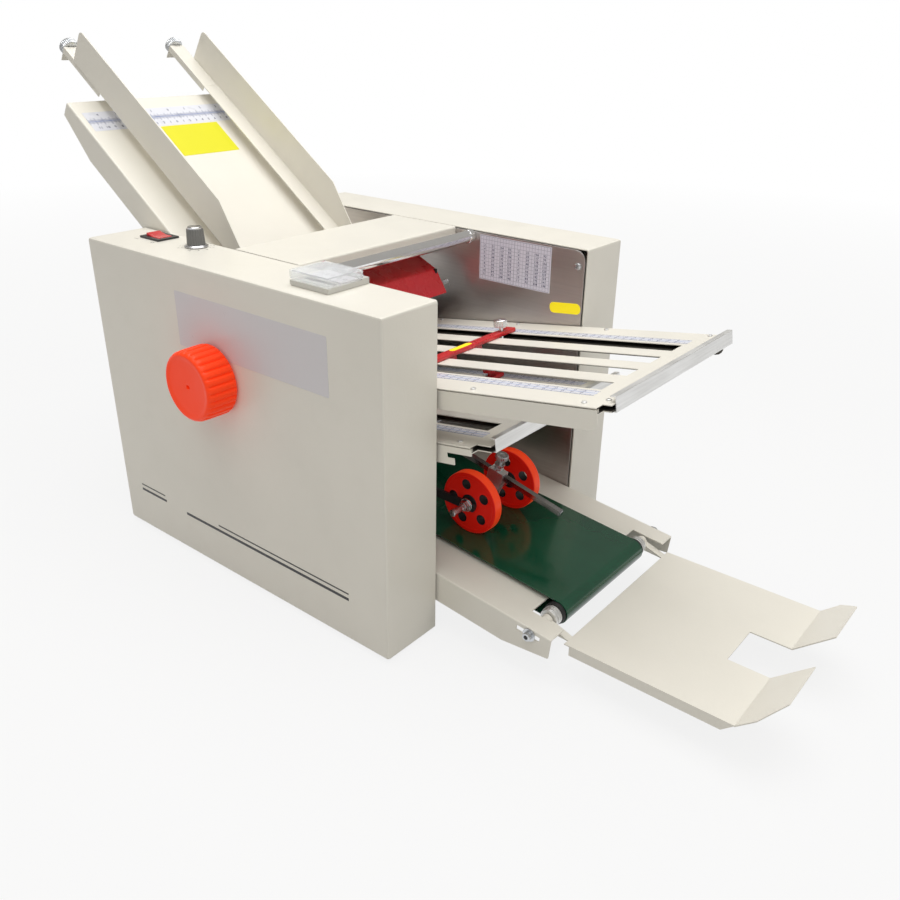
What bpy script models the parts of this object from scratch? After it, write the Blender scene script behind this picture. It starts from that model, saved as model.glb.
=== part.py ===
"""Desk paper folding machine: hopper, roller stack, slotted fold trays and a belt delivery.

Metres, +Z up.  X runs from the hopper to the output tray, the covers start at x = 0,
y = 0 is the middle of the paper path and z = 0 is the table.  The whole machine hangs on
one empty, which is moved at the end so that the origin is the bottom centre of the box.
"""
import math

import bmesh
import bpy
from mathutils import Matrix, Vector

for old in list(bpy.data.objects):
    bpy.data.objects.remove(old, do_unlink=True)

PARTS = bpy.data.collections.new("paper_folding_machine")
CUTTERS = bpy.data.collections.new("cutters")
bpy.context.scene.collection.children.link(PARTS)
bpy.context.scene.collection.children.link(CUTTERS)

# Clearances
GAP = 0.0003
CUT_OVERRUN = 0.002
RUN_GAP = 0.0006

# Side covers
COVER_LENGTH = 0.4584
COVER_DEPTH = 0.0743
COVER_TOP = 0.3685
COVER_BOTTOM = 0.004
COVER_OUTER = 0.20475
COVER_SHEET = 0.0014
COVER_EDGE = 0.003
FOOT_RADIUS = 0.011
FOOT_INSET = 0.030

# Inner frame
FRAME_INNER = 0.1284
FRAME_SHEET = 0.0017
FRAME_MARGIN = 0.0024
FRAME_CORNER = 0.012

# Top plate and tie rod
TOP_PLATE_REAR = 0.166
TOP_PLATE_FRONT = 0.2705
TOP_PLATE_SHEET = 0.0014
TOP_PLATE_LIP = 0.022
TOP_PLATE_HEM = 0.010
TIE_ROD_X = 0.294
TIE_ROD_DROP = 0.0080
TIE_ROD_RADIUS = 0.0070
TIE_COLLAR_RADIUS = 0.0082
TIE_COLLAR_WIDTH = 0.008

# Hopper, in its own frame: x down the slope, z square to the plate
HOPPER_ANGLE = math.radians(35.4)
HOPPER_X = 0.048
HOPPER_UP = 0.2258
HOPPER_DOWN = 0.1129
HOPPER_SHEET = 0.0012
FLANGE_END_DEPTH = 0.018
FLANGE_DEPTH = 0.034
FLANGE_TAPER = 0.0655
RAIL_ALONG = 0.092
RAIL_HEIGHT = 0.008
RAIL_RADIUS = 0.004

# Paper guides
GUIDE_FACE = 0.0907
GUIDE_STRIP = 0.024
GUIDE_FLOAT = 0.0157
GUIDE_SHEET = 0.0012
GUIDE_UP = 0.280
GUIDE_DOWN = 0.108
GUIDE_HEIGHT = 0.0435
GUIDE_NOSE = 0.090
GUIDE_NOSE_HEIGHT = 0.006
GUIDE_TIP_RADIUS = 0.006
GUIDE_FOOT = 0.014
ARM_OVERLAP = 0.058
ARM_REACH = 0.026
ARM_WALL = 0.008
ARM_TAB = 0.012
WHEEL_SCREW_RADIUS = 0.0115
WHEEL_SCREW_WIDTH = 0.009
WHEEL_SCREW_STEM = 0.0025

# Fold rollers: the paper path slope, the first nip, the roller size and the gears
PATH_SLOPE = math.radians(9.15)
NIP_X = 0.2188
NIP_DROP = 0.1294
ROLLER_RADIUS = 0.0139
ROLLER_HALF = 0.122
ROLLER_COUNT = 6
SHAFT_RADIUS = 0.005
GEAR_TEETH = 18
GEAR_WIDTH = 0.008
GEAR_TIP = 0.00095
GEAR_ROOT = 0.0013
GEAR_GAP = 0.0065
SHAFT_STUB = 0.003
PULLEY_RADIUS = 0.020
PULLEY_WIDTH = 0.008
PULLEY_ROLLER = 5
SMALL_PULLEY_RADIUS = 0.009
PULLEY_GAP = 0.0025
DRIVE_SHARE = 1.0 / 3.0

# Feed
FEED_TEETH = 56
FEED_ANGLE = math.radians(166.0)
FEED_RADIUS = 0.0162
FEED_HALF = 0.020
PAD_LENGTH = 0.016
PAD_WIDTH = 0.030
PAD_THICKNESS = 0.004
PAD_ARM = 0.003

# Hand knob
KNOB_RADIUS = 0.0385
KNOB_DEPTH = 0.036
KNOB_FLUTES = 28
KNOB_FLUTE_DEPTH = 0.0016
KNOB_DISH = 0.0035
KNOB_DISH_RADIUS = 0.030

# Red guard
GUARD_HALF = 0.100
GUARD_SHEET = 0.0014
GUARD_TOP_X = 0.232
GUARD_TOP_DROP = 0.0355
GUARD_EDGE_X = 0.263
GUARD_EDGE_DROP = 0.0490
GUARD_LOW_X = 0.280
GUARD_LOW_DROP = 0.0755
GUARD_EYE = 0.0065
GUARD_PIN = 0.003
GUARD_BRACKET = 0.004

# Motor
MOTOR_X = 0.110
MOTOR_Z = 0.062
MOTOR_RADIUS = 0.036
MOTOR_LENGTH = 0.120
GEARBOX_RADIUS = 0.032
GEARBOX_SHARE = 0.3
MOTOR_SHAFT = 0.004
MOTOR_PULLEY_RADIUS = 0.010
BELT_SHEET = 0.002

# Delivery conveyor, in its own frame: x down the slope from the end roller, z square to it
BELT_SLOPE = math.radians(6.0)
END_ROLLER_X = 0.577
END_ROLLER_Z = 0.0518
END_ROLLER_RADIUS = 0.0118
END_ROLLER_HALF = 0.084
END_COLLAR_RADIUS = 0.0105
END_COLLAR_WIDTH = 0.010
BELT_HALF = 0.079
BELT_THICKNESS = 0.0011
BELT_LENGTH = 0.315
CONVEYOR_HALF = 0.1278
CONVEYOR_SHEET = 0.0014
RAIL_TOP = 0.0075
RAIL_DEPTH = 0.034
RAIL_END = 0.0245
RAIL_TAPER = 0.0310
RAIL_END_DEPTH = 0.0235
NOTCH_BACK = 0.0145
NOTCH_OUTER = 0.1045
SLOT_BACK = 0.016
SLOT_FRONT = 0.012
SLOT_HALF = 0.0028
AXLE_RADIUS = 0.0025
WASHER_RADIUS = 0.0060
BOLT_RADIUS = 0.0043
BOLT_WASHER = 0.0014
BOLT_HEAD = 0.005
CONVEYOR_TAIL = 0.030

# Output tray
TRAY_LEVEL = 0.0450
TRAY_START = 0.6065
TRAY_BEND = 0.7825
TRAY_TIP_X = 0.8182
TRAY_TIP_Z = 0.0774
TRAY_HALF = 0.1100
TRAY_SHEET = 0.0013
TRAY_LIP = 0.0115
TRAY_LIP_INSET = 0.006
TRAY_NOTCH_START = 0.7400
TRAY_NOTCH_HALF = 0.0280
TRAY_TIP_CHAMFER = 0.020
TRAY_EAR_OUTER = 0.1035
TRAY_EAR_INNER = 0.0948
TRAY_EYE_RADIUS = 0.0062

# Press wheels, in the rod's frame: x down the rod from the cross shaft
ROD_SLOPE = math.radians(12.8)
ROD_PIVOT_X = 0.3337
ROD_PIVOT_Z = 0.1629
PRESS_ASIDE = 0.0055
ROD_LENGTH = 0.2018
ROD_WIDTH = 0.0065
ROD_HEIGHT = 0.006
ROD_BOSS = 0.009
CROSS_SHAFT_RADIUS = 0.005
WHEEL_RADIUS = 0.0365
WHEEL_WIDTH = 0.012
WHEEL_NEAR = 0.0450
WHEEL_FAR = 0.0410
WHEEL_HOLES = 5
WHEEL_HOLE_TURN_SHARE = 0.59
WHEEL_HOLE_RADIUS = 0.0060
WHEEL_HOLE_RING = 0.0225
WHEEL_WEB = 0.0015
WHEEL_RIM = 0.006
WHEEL_ALONG = 0.1126
AXLE_ROD_RADIUS = 0.004
AXLE_NUT_RADIUS = 0.0068
AXLE_NUT_WIDTH = 0.008
AXLE_STUD = 0.018
BRACKET_LENGTH = 0.020
BRACKET_WALL = 0.002
BRACKET_TOP = 0.008
CLAMP_HEAD_RADIUS = 0.0075
CLAMP_HEAD = 0.006
CLAMP_STEM = 0.0025
CLAMP_RISE = 0.0200
FINGER_LENGTH = 0.055
FINGER_WIDTH = 0.0105
FINGER_DIP = 0.0125
FINGER_SHEET = 0.003

# Front fold trays, in their own frame: x along the tray from the nip, z square to it
TRAY_FACE = 0.0034
FOLD_SHEET = 0.0012
FOLD_HALF = 0.1265
FOLD_START = 0.016
FOLD_END_SHORT = 0.008
FOLD_CORNER = 0.011
FOLD_SEAM = 0.001
FOLD_LIP_INSET = 0.003
FOLD_SIDE = 0.0178
FOLD_SIDE_CORNER = 0.008
SLOT_EDGE = 0.0310
SLOT_WIDTH = 0.0235
SLOT_STEP = 0.0452
SLOT_FIRST = 0.0795
SLOT_COUNT = 4
SLOT_INNER = 0.050
CHANNEL_DEPTH = 0.006
CHANNEL_HEIGHT = 0.0145
CHANNEL_TOP = 0.0096
CHANNEL_SHEET = 0.0012
CHANNEL_NEAR = 0.110
UPPER_LENGTH = 0.4225
LOWER_LENGTH = 0.2895
STOP_WIDTH = 0.013
STOP_HEIGHT = 0.005
STOP_NEAR = 0.098
STOP_FAR = 0.088
STOP_TAB = 0.006
UPPER_STOP_ALONG = 0.173
LOWER_STOP_ALONG = 0.150
STOP_SCREW_RADIUS = 0.008
STOP_SCREW_HEAD = 0.008
STOP_SCREW_RISE = 0.005
PIN_RADIUS = 0.003
PIN_END = 0.1235
PIN_INSET = 0.0350
PIN_SHARES = (0.43, 1.0)
LATCH_BACK = 0.0165
LATCH_STEP = 0.039
LATCH_LIP = 0.0056
LATCH_SLOT = 0.0085
LATCH_SLOT_HEIGHT = 0.0055

# Rear fold trays
REAR_LENGTH = 0.190
REAR_NIPS = (2, 4)
REAR_SHEET = 0.0024

# Controls
COUNTER_X = 0.3480
COUNTER_Y = 0.1610
COUNTER_LENGTH = 0.052
COUNTER_WIDTH = 0.050
COUNTER_BASE = 0.005
COUNTER_LID = 0.0085
COUNTER_WALL = 0.0015
COUNTER_PIN = 0.0012
SWITCH_X = 0.0615
SWITCH_Y = 0.1510
SWITCH_LENGTH = 0.035
SWITCH_WIDTH = 0.028
SWITCH_FLANGE = 0.002
SWITCH_BODY = 0.022
ROCKER_LENGTH = 0.026
ROCKER_WIDTH = 0.018
ROCKER_DROP = 0.009
ROCKER_TIP = 0.0045
ROCKER_THROW = math.radians(14.0)
DIAL_X = 0.1287
DIAL_Y = 0.1499
DIAL_RADIUS = 0.0100
DIAL_SKIRT_RADIUS = 0.0130
DIAL_SKIRT = 0.003
DIAL_HEIGHT = 0.022
DIAL_FLUTES = 20
DIAL_FLUTE_DEPTH = 0.0007
DIAL_SHAFT = 0.003
DIAL_SHAFT_LENGTH = 0.008
INLET_Z = 0.060
INLET_Y = 0.165
INLET_WIDTH = 0.048
INLET_HEIGHT = 0.027
INLET_DEPTH = 0.018
INLET_FLANGE = 0.002
INLET_WALL = 0.004

# Facets
ROUND_STEPS = 20
SMALL_STEPS = 12
WHEEL_STEPS = 32

# Derived places
TIE_ROD_Z = COVER_TOP - TIE_ROD_DROP
NIP_Z = COVER_TOP - NIP_DROP
GUARD_TOP_Z = COVER_TOP - GUARD_TOP_DROP
GUARD_EDGE_Z = COVER_TOP - GUARD_EDGE_DROP
GUARD_LOW_Z = COVER_TOP - GUARD_LOW_DROP
FRAME_OUTER = FRAME_INNER + FRAME_SHEET
ARM_START = GUIDE_UP - ARM_OVERLAP
ARM_END = GUIDE_UP + ARM_REACH
COVER_INNER = COVER_OUTER - COVER_DEPTH
NIP_STEP = 2 * ROLLER_RADIUS + GAP
GEAR_PITCH_RADIUS = NIP_STEP / 2
FEED_DISTANCE = GEAR_PITCH_RADIUS * (1 + FEED_TEETH / GEAR_TEETH)
GEAR_Y = FRAME_OUTER + GEAR_GAP
PULLEY_Y = GEAR_Y + GEAR_WIDTH + PULLEY_GAP
SHAFT_END = PULLEY_Y + PULLEY_WIDTH + PULLEY_GAP
BELT_TOP = END_ROLLER_RADIUS + GAP + BELT_THICKNESS
ROLLER_SHAFT_END = FRAME_OUTER + SHAFT_STUB
GEAR_END = GEAR_Y + GEAR_WIDTH + GAP

MATERIALS = {}


def material(name, colour, roughness, metallic=0.0):
    """A Principled material, made once for each name."""
    if name not in MATERIALS:
        made = bpy.data.materials.new(name)
        made.use_nodes = True
        shader = made.node_tree.nodes["Principled BSDF"]
        shader.inputs["Base Color"].default_value = (*colour, 1.0)
        shader.inputs["Roughness"].default_value = roughness
        shader.inputs["Metallic"].default_value = metallic
        made.diffuse_color = (*colour, 1.0)
        MATERIALS[name] = made
    return MATERIALS[name]


COAT = material("powder_coat", (0.80, 0.77, 0.70), 0.45)
STEEL = material("brushed_steel", (0.60, 0.60, 0.61), 0.30, 1.0)
ZINC = material("zinc", (0.66, 0.67, 0.69), 0.25, 1.0)
CHROME = material("chrome", (0.80, 0.80, 0.82), 0.10, 1.0)
ALUMINIUM = material("aluminium", (0.75, 0.75, 0.76), 0.35, 1.0)
RUBBER = material("black_rubber", (0.03, 0.03, 0.03), 0.60)
ORANGE = material("orange_plastic", (0.95, 0.12, 0.01), 0.40)
RED = material("red_paint", (0.62, 0.01, 0.02), 0.35)
GREEN = material("green_belt", (0.01, 0.07, 0.04), 0.25)
DARK = material("dark_plastic", (0.06, 0.06, 0.06), 0.40)
CLEAR = material("clear_plastic", (0.85, 0.87, 0.90), 0.10)
CAST = material("cast_metal", (0.20, 0.21, 0.22), 0.50, 0.6)


def empty(name, parent=None, place=(0, 0, 0), tilt=0.0):
    """A frame to hang parts on: moved to a place and tilted about Y."""
    made = bpy.data.objects.new(name, None)
    made.location = place
    made.rotation_euler = (0, tilt, 0)
    made.parent = parent
    PARTS.objects.link(made)
    return made


MACHINE = empty("machine")


def keep(obj, name, paint, parent=MACHINE, place=(0, 0, 0)):
    """Name a finished piece, paint it and hang it on its frame."""
    obj.name = name
    obj.data.name = name
    obj.data.materials.clear()
    obj.data.materials.append(paint)
    obj.parent = parent
    obj.location = place
    obj.data.shade_smooth()
    obj.data.set_sharp_from_angle(angle=math.radians(35))
    return obj


def mesh_object(mesh):
    """A new mesh object in the parts collection."""
    obj = bpy.data.objects.new("piece", mesh)
    PARTS.objects.link(obj)
    return obj


def from_bmesh(bm):
    """Turn a bmesh into an object."""
    mesh = bpy.data.meshes.new("piece")
    bm.to_mesh(mesh)
    bm.free()
    return mesh_object(mesh)


def baked(obj):
    """The object's evaluated mesh as a new plain object; the old one is removed."""
    graph = bpy.context.evaluated_depsgraph_get()
    graph.update()
    mesh = bpy.data.meshes.new_from_object(obj.evaluated_get(graph))
    bm = bmesh.new()
    bm.from_mesh(mesh)
    bm.transform(obj.matrix_basis)
    bmesh.ops.remove_doubles(bm, verts=bm.verts, dist=GAP / 100)
    bmesh.ops.recalc_face_normals(bm, faces=bm.faces)
    bpy.data.objects.remove(obj, do_unlink=True)
    return from_bmesh(bm)


def block(low, high):
    """A box between two corners."""
    bm = bmesh.new()
    bmesh.ops.create_cube(bm, size=1.0)
    size = [b - a for a, b in zip(low, high)]
    middle = [(a + b) / 2 for a, b in zip(low, high)]
    bm.transform(Matrix.Translation(middle) @ Matrix.Diagonal((*size, 1.0)))
    return from_bmesh(bm)


def rod(radius, start, end, steps=ROUND_STEPS):
    """A round bar between two points."""
    start, end = Vector(start), Vector(end)
    run = end - start
    bm = bmesh.new()
    bmesh.ops.create_cone(bm, cap_ends=True, segments=steps, radius1=radius, radius2=radius,
                          depth=run.length)
    turn = run.to_track_quat("Z", "Y").to_matrix().to_4x4()
    bm.transform(Matrix.Translation((start + end) / 2) @ turn)
    return from_bmesh(bm)


def turned(profile, steps=ROUND_STEPS, hollow=False):
    """A solid of revolution about Y; the profile lists (y, radius) from far to near."""
    mesh = bpy.data.meshes.new("profile")
    points = [(radius, 0, along) for along, radius in profile]
    edges = [(i, i + 1) for i in range(len(points) - 1)]
    if hollow:
        edges.append((len(points) - 1, 0))
    mesh.from_pydata(points, edges, [])
    obj = mesh_object(mesh)
    screw = obj.modifiers.new("turn", "SCREW")
    screw.axis = "Z"
    screw.steps = steps
    screw.render_steps = steps
    screw.use_merge_vertices = True
    screw.merge_threshold = GAP / 10
    obj.rotation_euler = (-math.pi / 2, 0, 0)
    bpy.context.view_layer.update()
    return baked(obj)


def sheet(outline, low, high, holes=()):
    """A flat outline in x and z, given thickness from y = low to y = high."""
    curve = bpy.data.curves.new("outline", "CURVE")
    curve.dimensions = "2D"
    curve.fill_mode = "BOTH"
    curve.extrude = (high - low) / 2
    for points in (outline, *holes):
        spline = curve.splines.new("POLY")
        spline.points.add(len(points) - 1)
        for point, (x, z) in zip(spline.points, points):
            point.co = (x, z, 0, 1)
        spline.use_cyclic_u = True
    obj = bpy.data.objects.new("outline", curve)
    PARTS.objects.link(obj)
    obj.rotation_euler = (math.pi / 2, 0, 0)
    obj.location = (0, (low + high) / 2, 0)
    bpy.context.view_layer.update()
    return baked(obj)


def flat(outline, low, high, holes=()):
    """A flat outline in x and y, given thickness from z = low to z = high."""
    obj = sheet(outline, -high, -low, holes)
    obj.data.transform(Matrix.Rotation(-math.pi / 2, 4, "X"))
    return obj


def circle(x, z, radius, steps=ROUND_STEPS, phase=0.0):
    """Points of a circle."""
    turn = 2 * math.pi / steps
    return [(x + radius * math.cos(phase + k * turn), z + radius * math.sin(phase + k * turn))
            for k in range(steps)]


def rounded(points, radii, steps=4):
    """An outline whose corners are replaced by arcs; a radius of 0 keeps the corner."""
    out = []
    count = len(points)
    for k, (point, radius) in enumerate(zip(points, radii)):
        here = Vector(point)
        if not radius:
            out.append(tuple(here))
            continue
        before = (Vector(points[k - 1]) - here).normalized()
        after = (Vector(points[(k + 1) % count]) - here).normalized()
        half = before.angle(after) / 2
        reach = radius / math.tan(half)
        centre = here + (before + after).normalized() * (radius / math.sin(half))
        first = here + before * reach - centre
        last = here + after * reach - centre
        sweep = first.angle_signed(last)
        for n in range(steps + 1):
            turned_by = Matrix.Rotation(-sweep * n / steps, 2)
            out.append(tuple(centre + turned_by @ first))
    return out


def bent(path, thickness):
    """The outline of a bent sheet: the path is its left face, going along it."""
    inner = []
    for k, point in enumerate(path):
        here = Vector(point)
        normals = []
        if k:
            run = (here - Vector(path[k - 1])).normalized()
            normals.append(Vector((run.y, -run.x)))
        if k < len(path) - 1:
            run = (Vector(path[k + 1]) - here).normalized()
            normals.append(Vector((run.y, -run.x)))
        way = sum(normals, Vector((0, 0))).normalized()
        inner.append(tuple(here + way * (thickness / way.dot(normals[0]))))
    return list(path) + inner[::-1]


def combine(obj, other, operation):
    """Boolean two plain objects into one; the second is used up."""
    other.hide_render = True
    other.display_type = "WIRE"
    PARTS.objects.unlink(other)
    CUTTERS.objects.link(other)
    cut = obj.modifiers.new("cut", "BOOLEAN")
    cut.operation = operation
    cut.solver = "EXACT"
    cut.object = other
    bpy.context.view_layer.update()
    made = baked(obj)
    bpy.data.objects.remove(other, do_unlink=True)
    return made


def cut(obj, *others):
    """Cut each of the others out of the object."""
    for other in others:
        obj = combine(obj, other, "DIFFERENCE")
    return obj


def fuse(obj, *others):
    """Join the others to the object as one body."""
    for other in others:
        obj = combine(obj, other, "UNION")
    return obj


def mirrored(obj):
    """A copy of a piece on the other side of y = 0."""
    bm = bmesh.new()
    bm.from_mesh(obj.data)
    bm.transform(Matrix.Scale(-1, 4, (0, 1, 0)))
    bmesh.ops.reverse_faces(bm, faces=bm.faces)
    return from_bmesh(bm)


def gear_outline(teeth, pitch_radius, phase=0.0):
    """Points of a straight-flanked gear; phase is a share of one tooth."""
    root = pitch_radius - GEAR_ROOT
    tip = pitch_radius + GEAR_TIP
    pitch = 2 * math.pi / teeth
    corner_shares = ((-0.30, root), (-0.11, tip), (0.11, tip), (0.30, root))
    points = []
    for k in range(teeth):
        for share, radius in corner_shares:
            angle = (k + phase + share) * pitch
            points.append((radius * math.cos(angle), radius * math.sin(angle)))
    return points


def fluted_outline(radius, flutes, depth):
    """A round outline with shallow grooves, four points to a flute."""
    steps = 4 * flutes
    points = []
    for k in range(steps):
        angle = 2 * math.pi * k / steps
        wave = depth * (1 - math.cos(flutes * angle)) / 2
        points.append(((radius - wave) * math.cos(angle), (radius - wave) * math.sin(angle)))
    return points


def roller_place(number):
    """The axis of a fold roller, counted from the top of the stack."""
    along = (number - 1.5) * NIP_STEP
    return NIP_X + along * math.sin(PATH_SLOPE), NIP_Z - along * math.cos(PATH_SLOPE)


def nip_place(number):
    """The nip below a fold roller."""
    along = (number - 1) * NIP_STEP
    return NIP_X + along * math.sin(PATH_SLOPE), NIP_Z - along * math.cos(PATH_SLOPE)


KNOB_X, KNOB_Z = roller_place(1)
FEED_X = KNOB_X + FEED_DISTANCE * math.cos(FEED_ANGLE)
FEED_Z = KNOB_Z + FEED_DISTANCE * math.sin(FEED_ANGLE)
TAIL_X = END_ROLLER_X - BELT_LENGTH * math.cos(BELT_SLOPE)
TAIL_Z = END_ROLLER_Z + BELT_LENGTH * math.sin(BELT_SLOPE)

HOPPER = empty("hopper_frame", MACHINE, (HOPPER_X, 0, COVER_TOP), HOPPER_ANGLE)
CONVEYOR = empty("conveyor_frame_axis", MACHINE, (END_ROLLER_X, 0, END_ROLLER_Z), BELT_SLOPE)
UPPER = empty("upper_tray_frame", MACHINE, (nip_place(1)[0], 0, nip_place(1)[1]), -PATH_SLOPE)
LOWER = empty("lower_tray_frame", MACHINE, (nip_place(3)[0], 0, nip_place(3)[1]), -PATH_SLOPE)
PRESS = empty("press_rod_axis", MACHINE, (ROD_PIVOT_X, -PRESS_ASIDE, ROD_PIVOT_Z), ROD_SLOPE)


def side_covers():
    """Two sheet shells, open towards the frame, with the holes of the controls."""
    for side, name in ((-1, "left_cover"), (1, "right_cover")):
        bm = bmesh.new()
        bmesh.ops.create_cube(bm, size=1.0)
        size = (COVER_LENGTH, COVER_DEPTH, COVER_TOP - COVER_BOTTOM)
        middle = (COVER_LENGTH / 2, side * (COVER_OUTER + COVER_INNER) / 2,
                  (COVER_TOP + COVER_BOTTOM) / 2)
        bm.transform(Matrix.Translation(middle) @ Matrix.Diagonal((*size, 1.0)))
        open_face = [f for f in bm.faces if f.normal.y * side < -0.5]
        bmesh.ops.delete(bm, geom=open_face, context="FACES_ONLY")
        bmesh.ops.recalc_face_normals(bm, faces=bm.faces)
        shell = from_bmesh(bm)
        edge = shell.modifiers.new("edge", "BEVEL")
        edge.width = COVER_EDGE
        edge.segments = 2
        edge.limit_method = "ANGLE"
        wall = shell.modifiers.new("wall", "SOLIDIFY")
        wall.thickness = COVER_SHEET
        wall.offset = -1
        bpy.context.view_layer.update()
        shell = baked(shell)
        if side < 0:
            shell = cut(shell, *control_holes())
        keep(shell, name, COAT)


def control_holes():
    """Cutters for the knob shaft, switch, speed dial and power inlet of the left cover."""
    deep = COVER_SHEET + CUT_OVERRUN
    wall = -COVER_OUTER
    knob = rod(SHAFT_RADIUS + RUN_GAP, (KNOB_X, wall - CUT_OVERRUN, KNOB_Z),
               (KNOB_X, wall + deep, KNOB_Z))
    switch = block((SWITCH_X - SWITCH_LENGTH / 2 + SWITCH_FLANGE,
                    -SWITCH_Y - SWITCH_WIDTH / 2 + SWITCH_FLANGE, COVER_TOP - deep),
                   (SWITCH_X + SWITCH_LENGTH / 2 - SWITCH_FLANGE,
                    -SWITCH_Y + SWITCH_WIDTH / 2 - SWITCH_FLANGE, COVER_TOP + CUT_OVERRUN))
    dial = rod(DIAL_SHAFT + RUN_GAP, (DIAL_X, -DIAL_Y, COVER_TOP - deep),
               (DIAL_X, -DIAL_Y, COVER_TOP + CUT_OVERRUN), SMALL_STEPS)
    inlet = block((-CUT_OVERRUN, -INLET_Y - INLET_WIDTH / 2 + INLET_WALL,
                   INLET_Z - INLET_HEIGHT / 2 + INLET_FLANGE),
                  (deep, -INLET_Y + INLET_WIDTH / 2 - INLET_WALL,
                   INLET_Z + INLET_HEIGHT / 2 - INLET_FLANGE))
    return knob, switch, dial, inlet


def frame_plates():
    """The two steel side plates with the bores of every shaft."""
    low = COVER_BOTTOM + FRAME_MARGIN
    high = COVER_TOP - FRAME_MARGIN + GAP
    front = COVER_LENGTH - FRAME_MARGIN
    corners = [(FRAME_MARGIN, low), (front, low), (front, high), (FRAME_MARGIN, high)]
    outline = rounded(corners, [0, 0, FRAME_CORNER, FRAME_CORNER])
    bore = SHAFT_RADIUS + RUN_GAP
    holes = [circle(*roller_place(n + 1), bore, SMALL_STEPS) for n in range(ROLLER_COUNT)]
    holes.append(circle(FEED_X, FEED_Z, bore, SMALL_STEPS))
    holes.append(circle(TAIL_X, TAIL_Z, bore, SMALL_STEPS))
    holes.append(circle(ROD_PIVOT_X, ROD_PIVOT_Z, CROSS_SHAFT_RADIUS + RUN_GAP, SMALL_STEPS))
    motor = circle(MOTOR_X, MOTOR_Z, MOTOR_SHAFT + RUN_GAP, SMALL_STEPS)
    for side, name, bores in ((-1, "left_frame_plate", [*holes, motor]),
                              (1, "right_frame_plate", holes)):
        low, high = sorted((side * FRAME_INNER, side * FRAME_OUTER))
        plate = sheet(outline, low, high, bores)
        for x, z in tray_pins():
            plate = fuse(plate, rod(PIN_RADIUS, (x, side * PIN_END, z),
                                    (x, side * (FRAME_INNER + FRAME_SHEET / 2), z), SMALL_STEPS))
        keep(plate, name, STEEL)


def tray_pins():
    """Where the pins stand that carry the side flanges of both front trays."""
    below = -FOLD_SIDE - GAP - PIN_RADIUS
    front = COVER_LENGTH - FRAME_MARGIN - PIN_INSET
    places = []
    for number in (1, 3):
        x, z = nip_place(number)
        reach = (front - x + below * math.sin(PATH_SLOPE)) / math.cos(PATH_SLOPE)
        for share in PIN_SHARES:
            along = share * reach
            places.append((x + along * math.cos(PATH_SLOPE) - below * math.sin(PATH_SLOPE),
                           z + along * math.sin(PATH_SLOPE) + below * math.cos(PATH_SLOPE)))
    return places


def feet_and_top():
    """Feet, bent top plate and the chromed tie rod."""
    half = FRAME_INNER - GAP
    for end, x in (("rear", FOOT_INSET), ("front", COVER_LENGTH - FOOT_INSET)):
        for side, way in (("left", -1), ("right", 1)):
            y = way * (COVER_OUTER + COVER_INNER) / 2
            keep(rod(FOOT_RADIUS, (0, 0, 0), (0, 0, COVER_BOTTOM - GAP)), f"{end}_{side}_foot",
                 RUBBER, place=(x, y, 0))
    path = [(TOP_PLATE_REAR, COVER_TOP - TOP_PLATE_HEM), (TOP_PLATE_REAR, COVER_TOP),
            (TOP_PLATE_FRONT, COVER_TOP), (TOP_PLATE_FRONT, COVER_TOP - TOP_PLATE_LIP)]
    keep(sheet(bent(path, TOP_PLATE_SHEET), -half, half), "top_plate", COAT)
    profile = [(half, 0), (half, TIE_COLLAR_RADIUS), (half - TIE_COLLAR_WIDTH, TIE_COLLAR_RADIUS),
               (half - TIE_COLLAR_WIDTH, TIE_ROD_RADIUS)]
    profile += [(-along, radius) for along, radius in reversed(profile)]
    keep(turned(profile), "tie_rod", CHROME, place=(TIE_ROD_X, 0, TIE_ROD_Z))


def hopper():
    """The sloping paper plate with its side flanges, and the rail that carries the guides."""
    half = FRAME_INNER - GAP
    plate = block((-HOPPER_UP, -half, -HOPPER_SHEET), (HOPPER_DOWN, half, 0))
    under = -HOPPER_SHEET / 2
    outline = [(-HOPPER_UP, under), (-HOPPER_UP, -FLANGE_END_DEPTH),
               (-HOPPER_UP + FLANGE_TAPER, -FLANGE_DEPTH), (HOPPER_DOWN, -FLANGE_DEPTH),
               (HOPPER_DOWN, under)]
    plate = fuse(plate, sheet(outline, -half, -half + HOPPER_SHEET),
                 sheet(outline, half - HOPPER_SHEET, half))
    keep(plate, "hopper_plate", COAT, HOPPER)
    keep(rod(RAIL_RADIUS, (0, -half, 0), (0, half, 0), SMALL_STEPS), "hopper_rail", STEEL,
         HOPPER, (RAIL_ALONG, 0, RAIL_HEIGHT))


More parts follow.
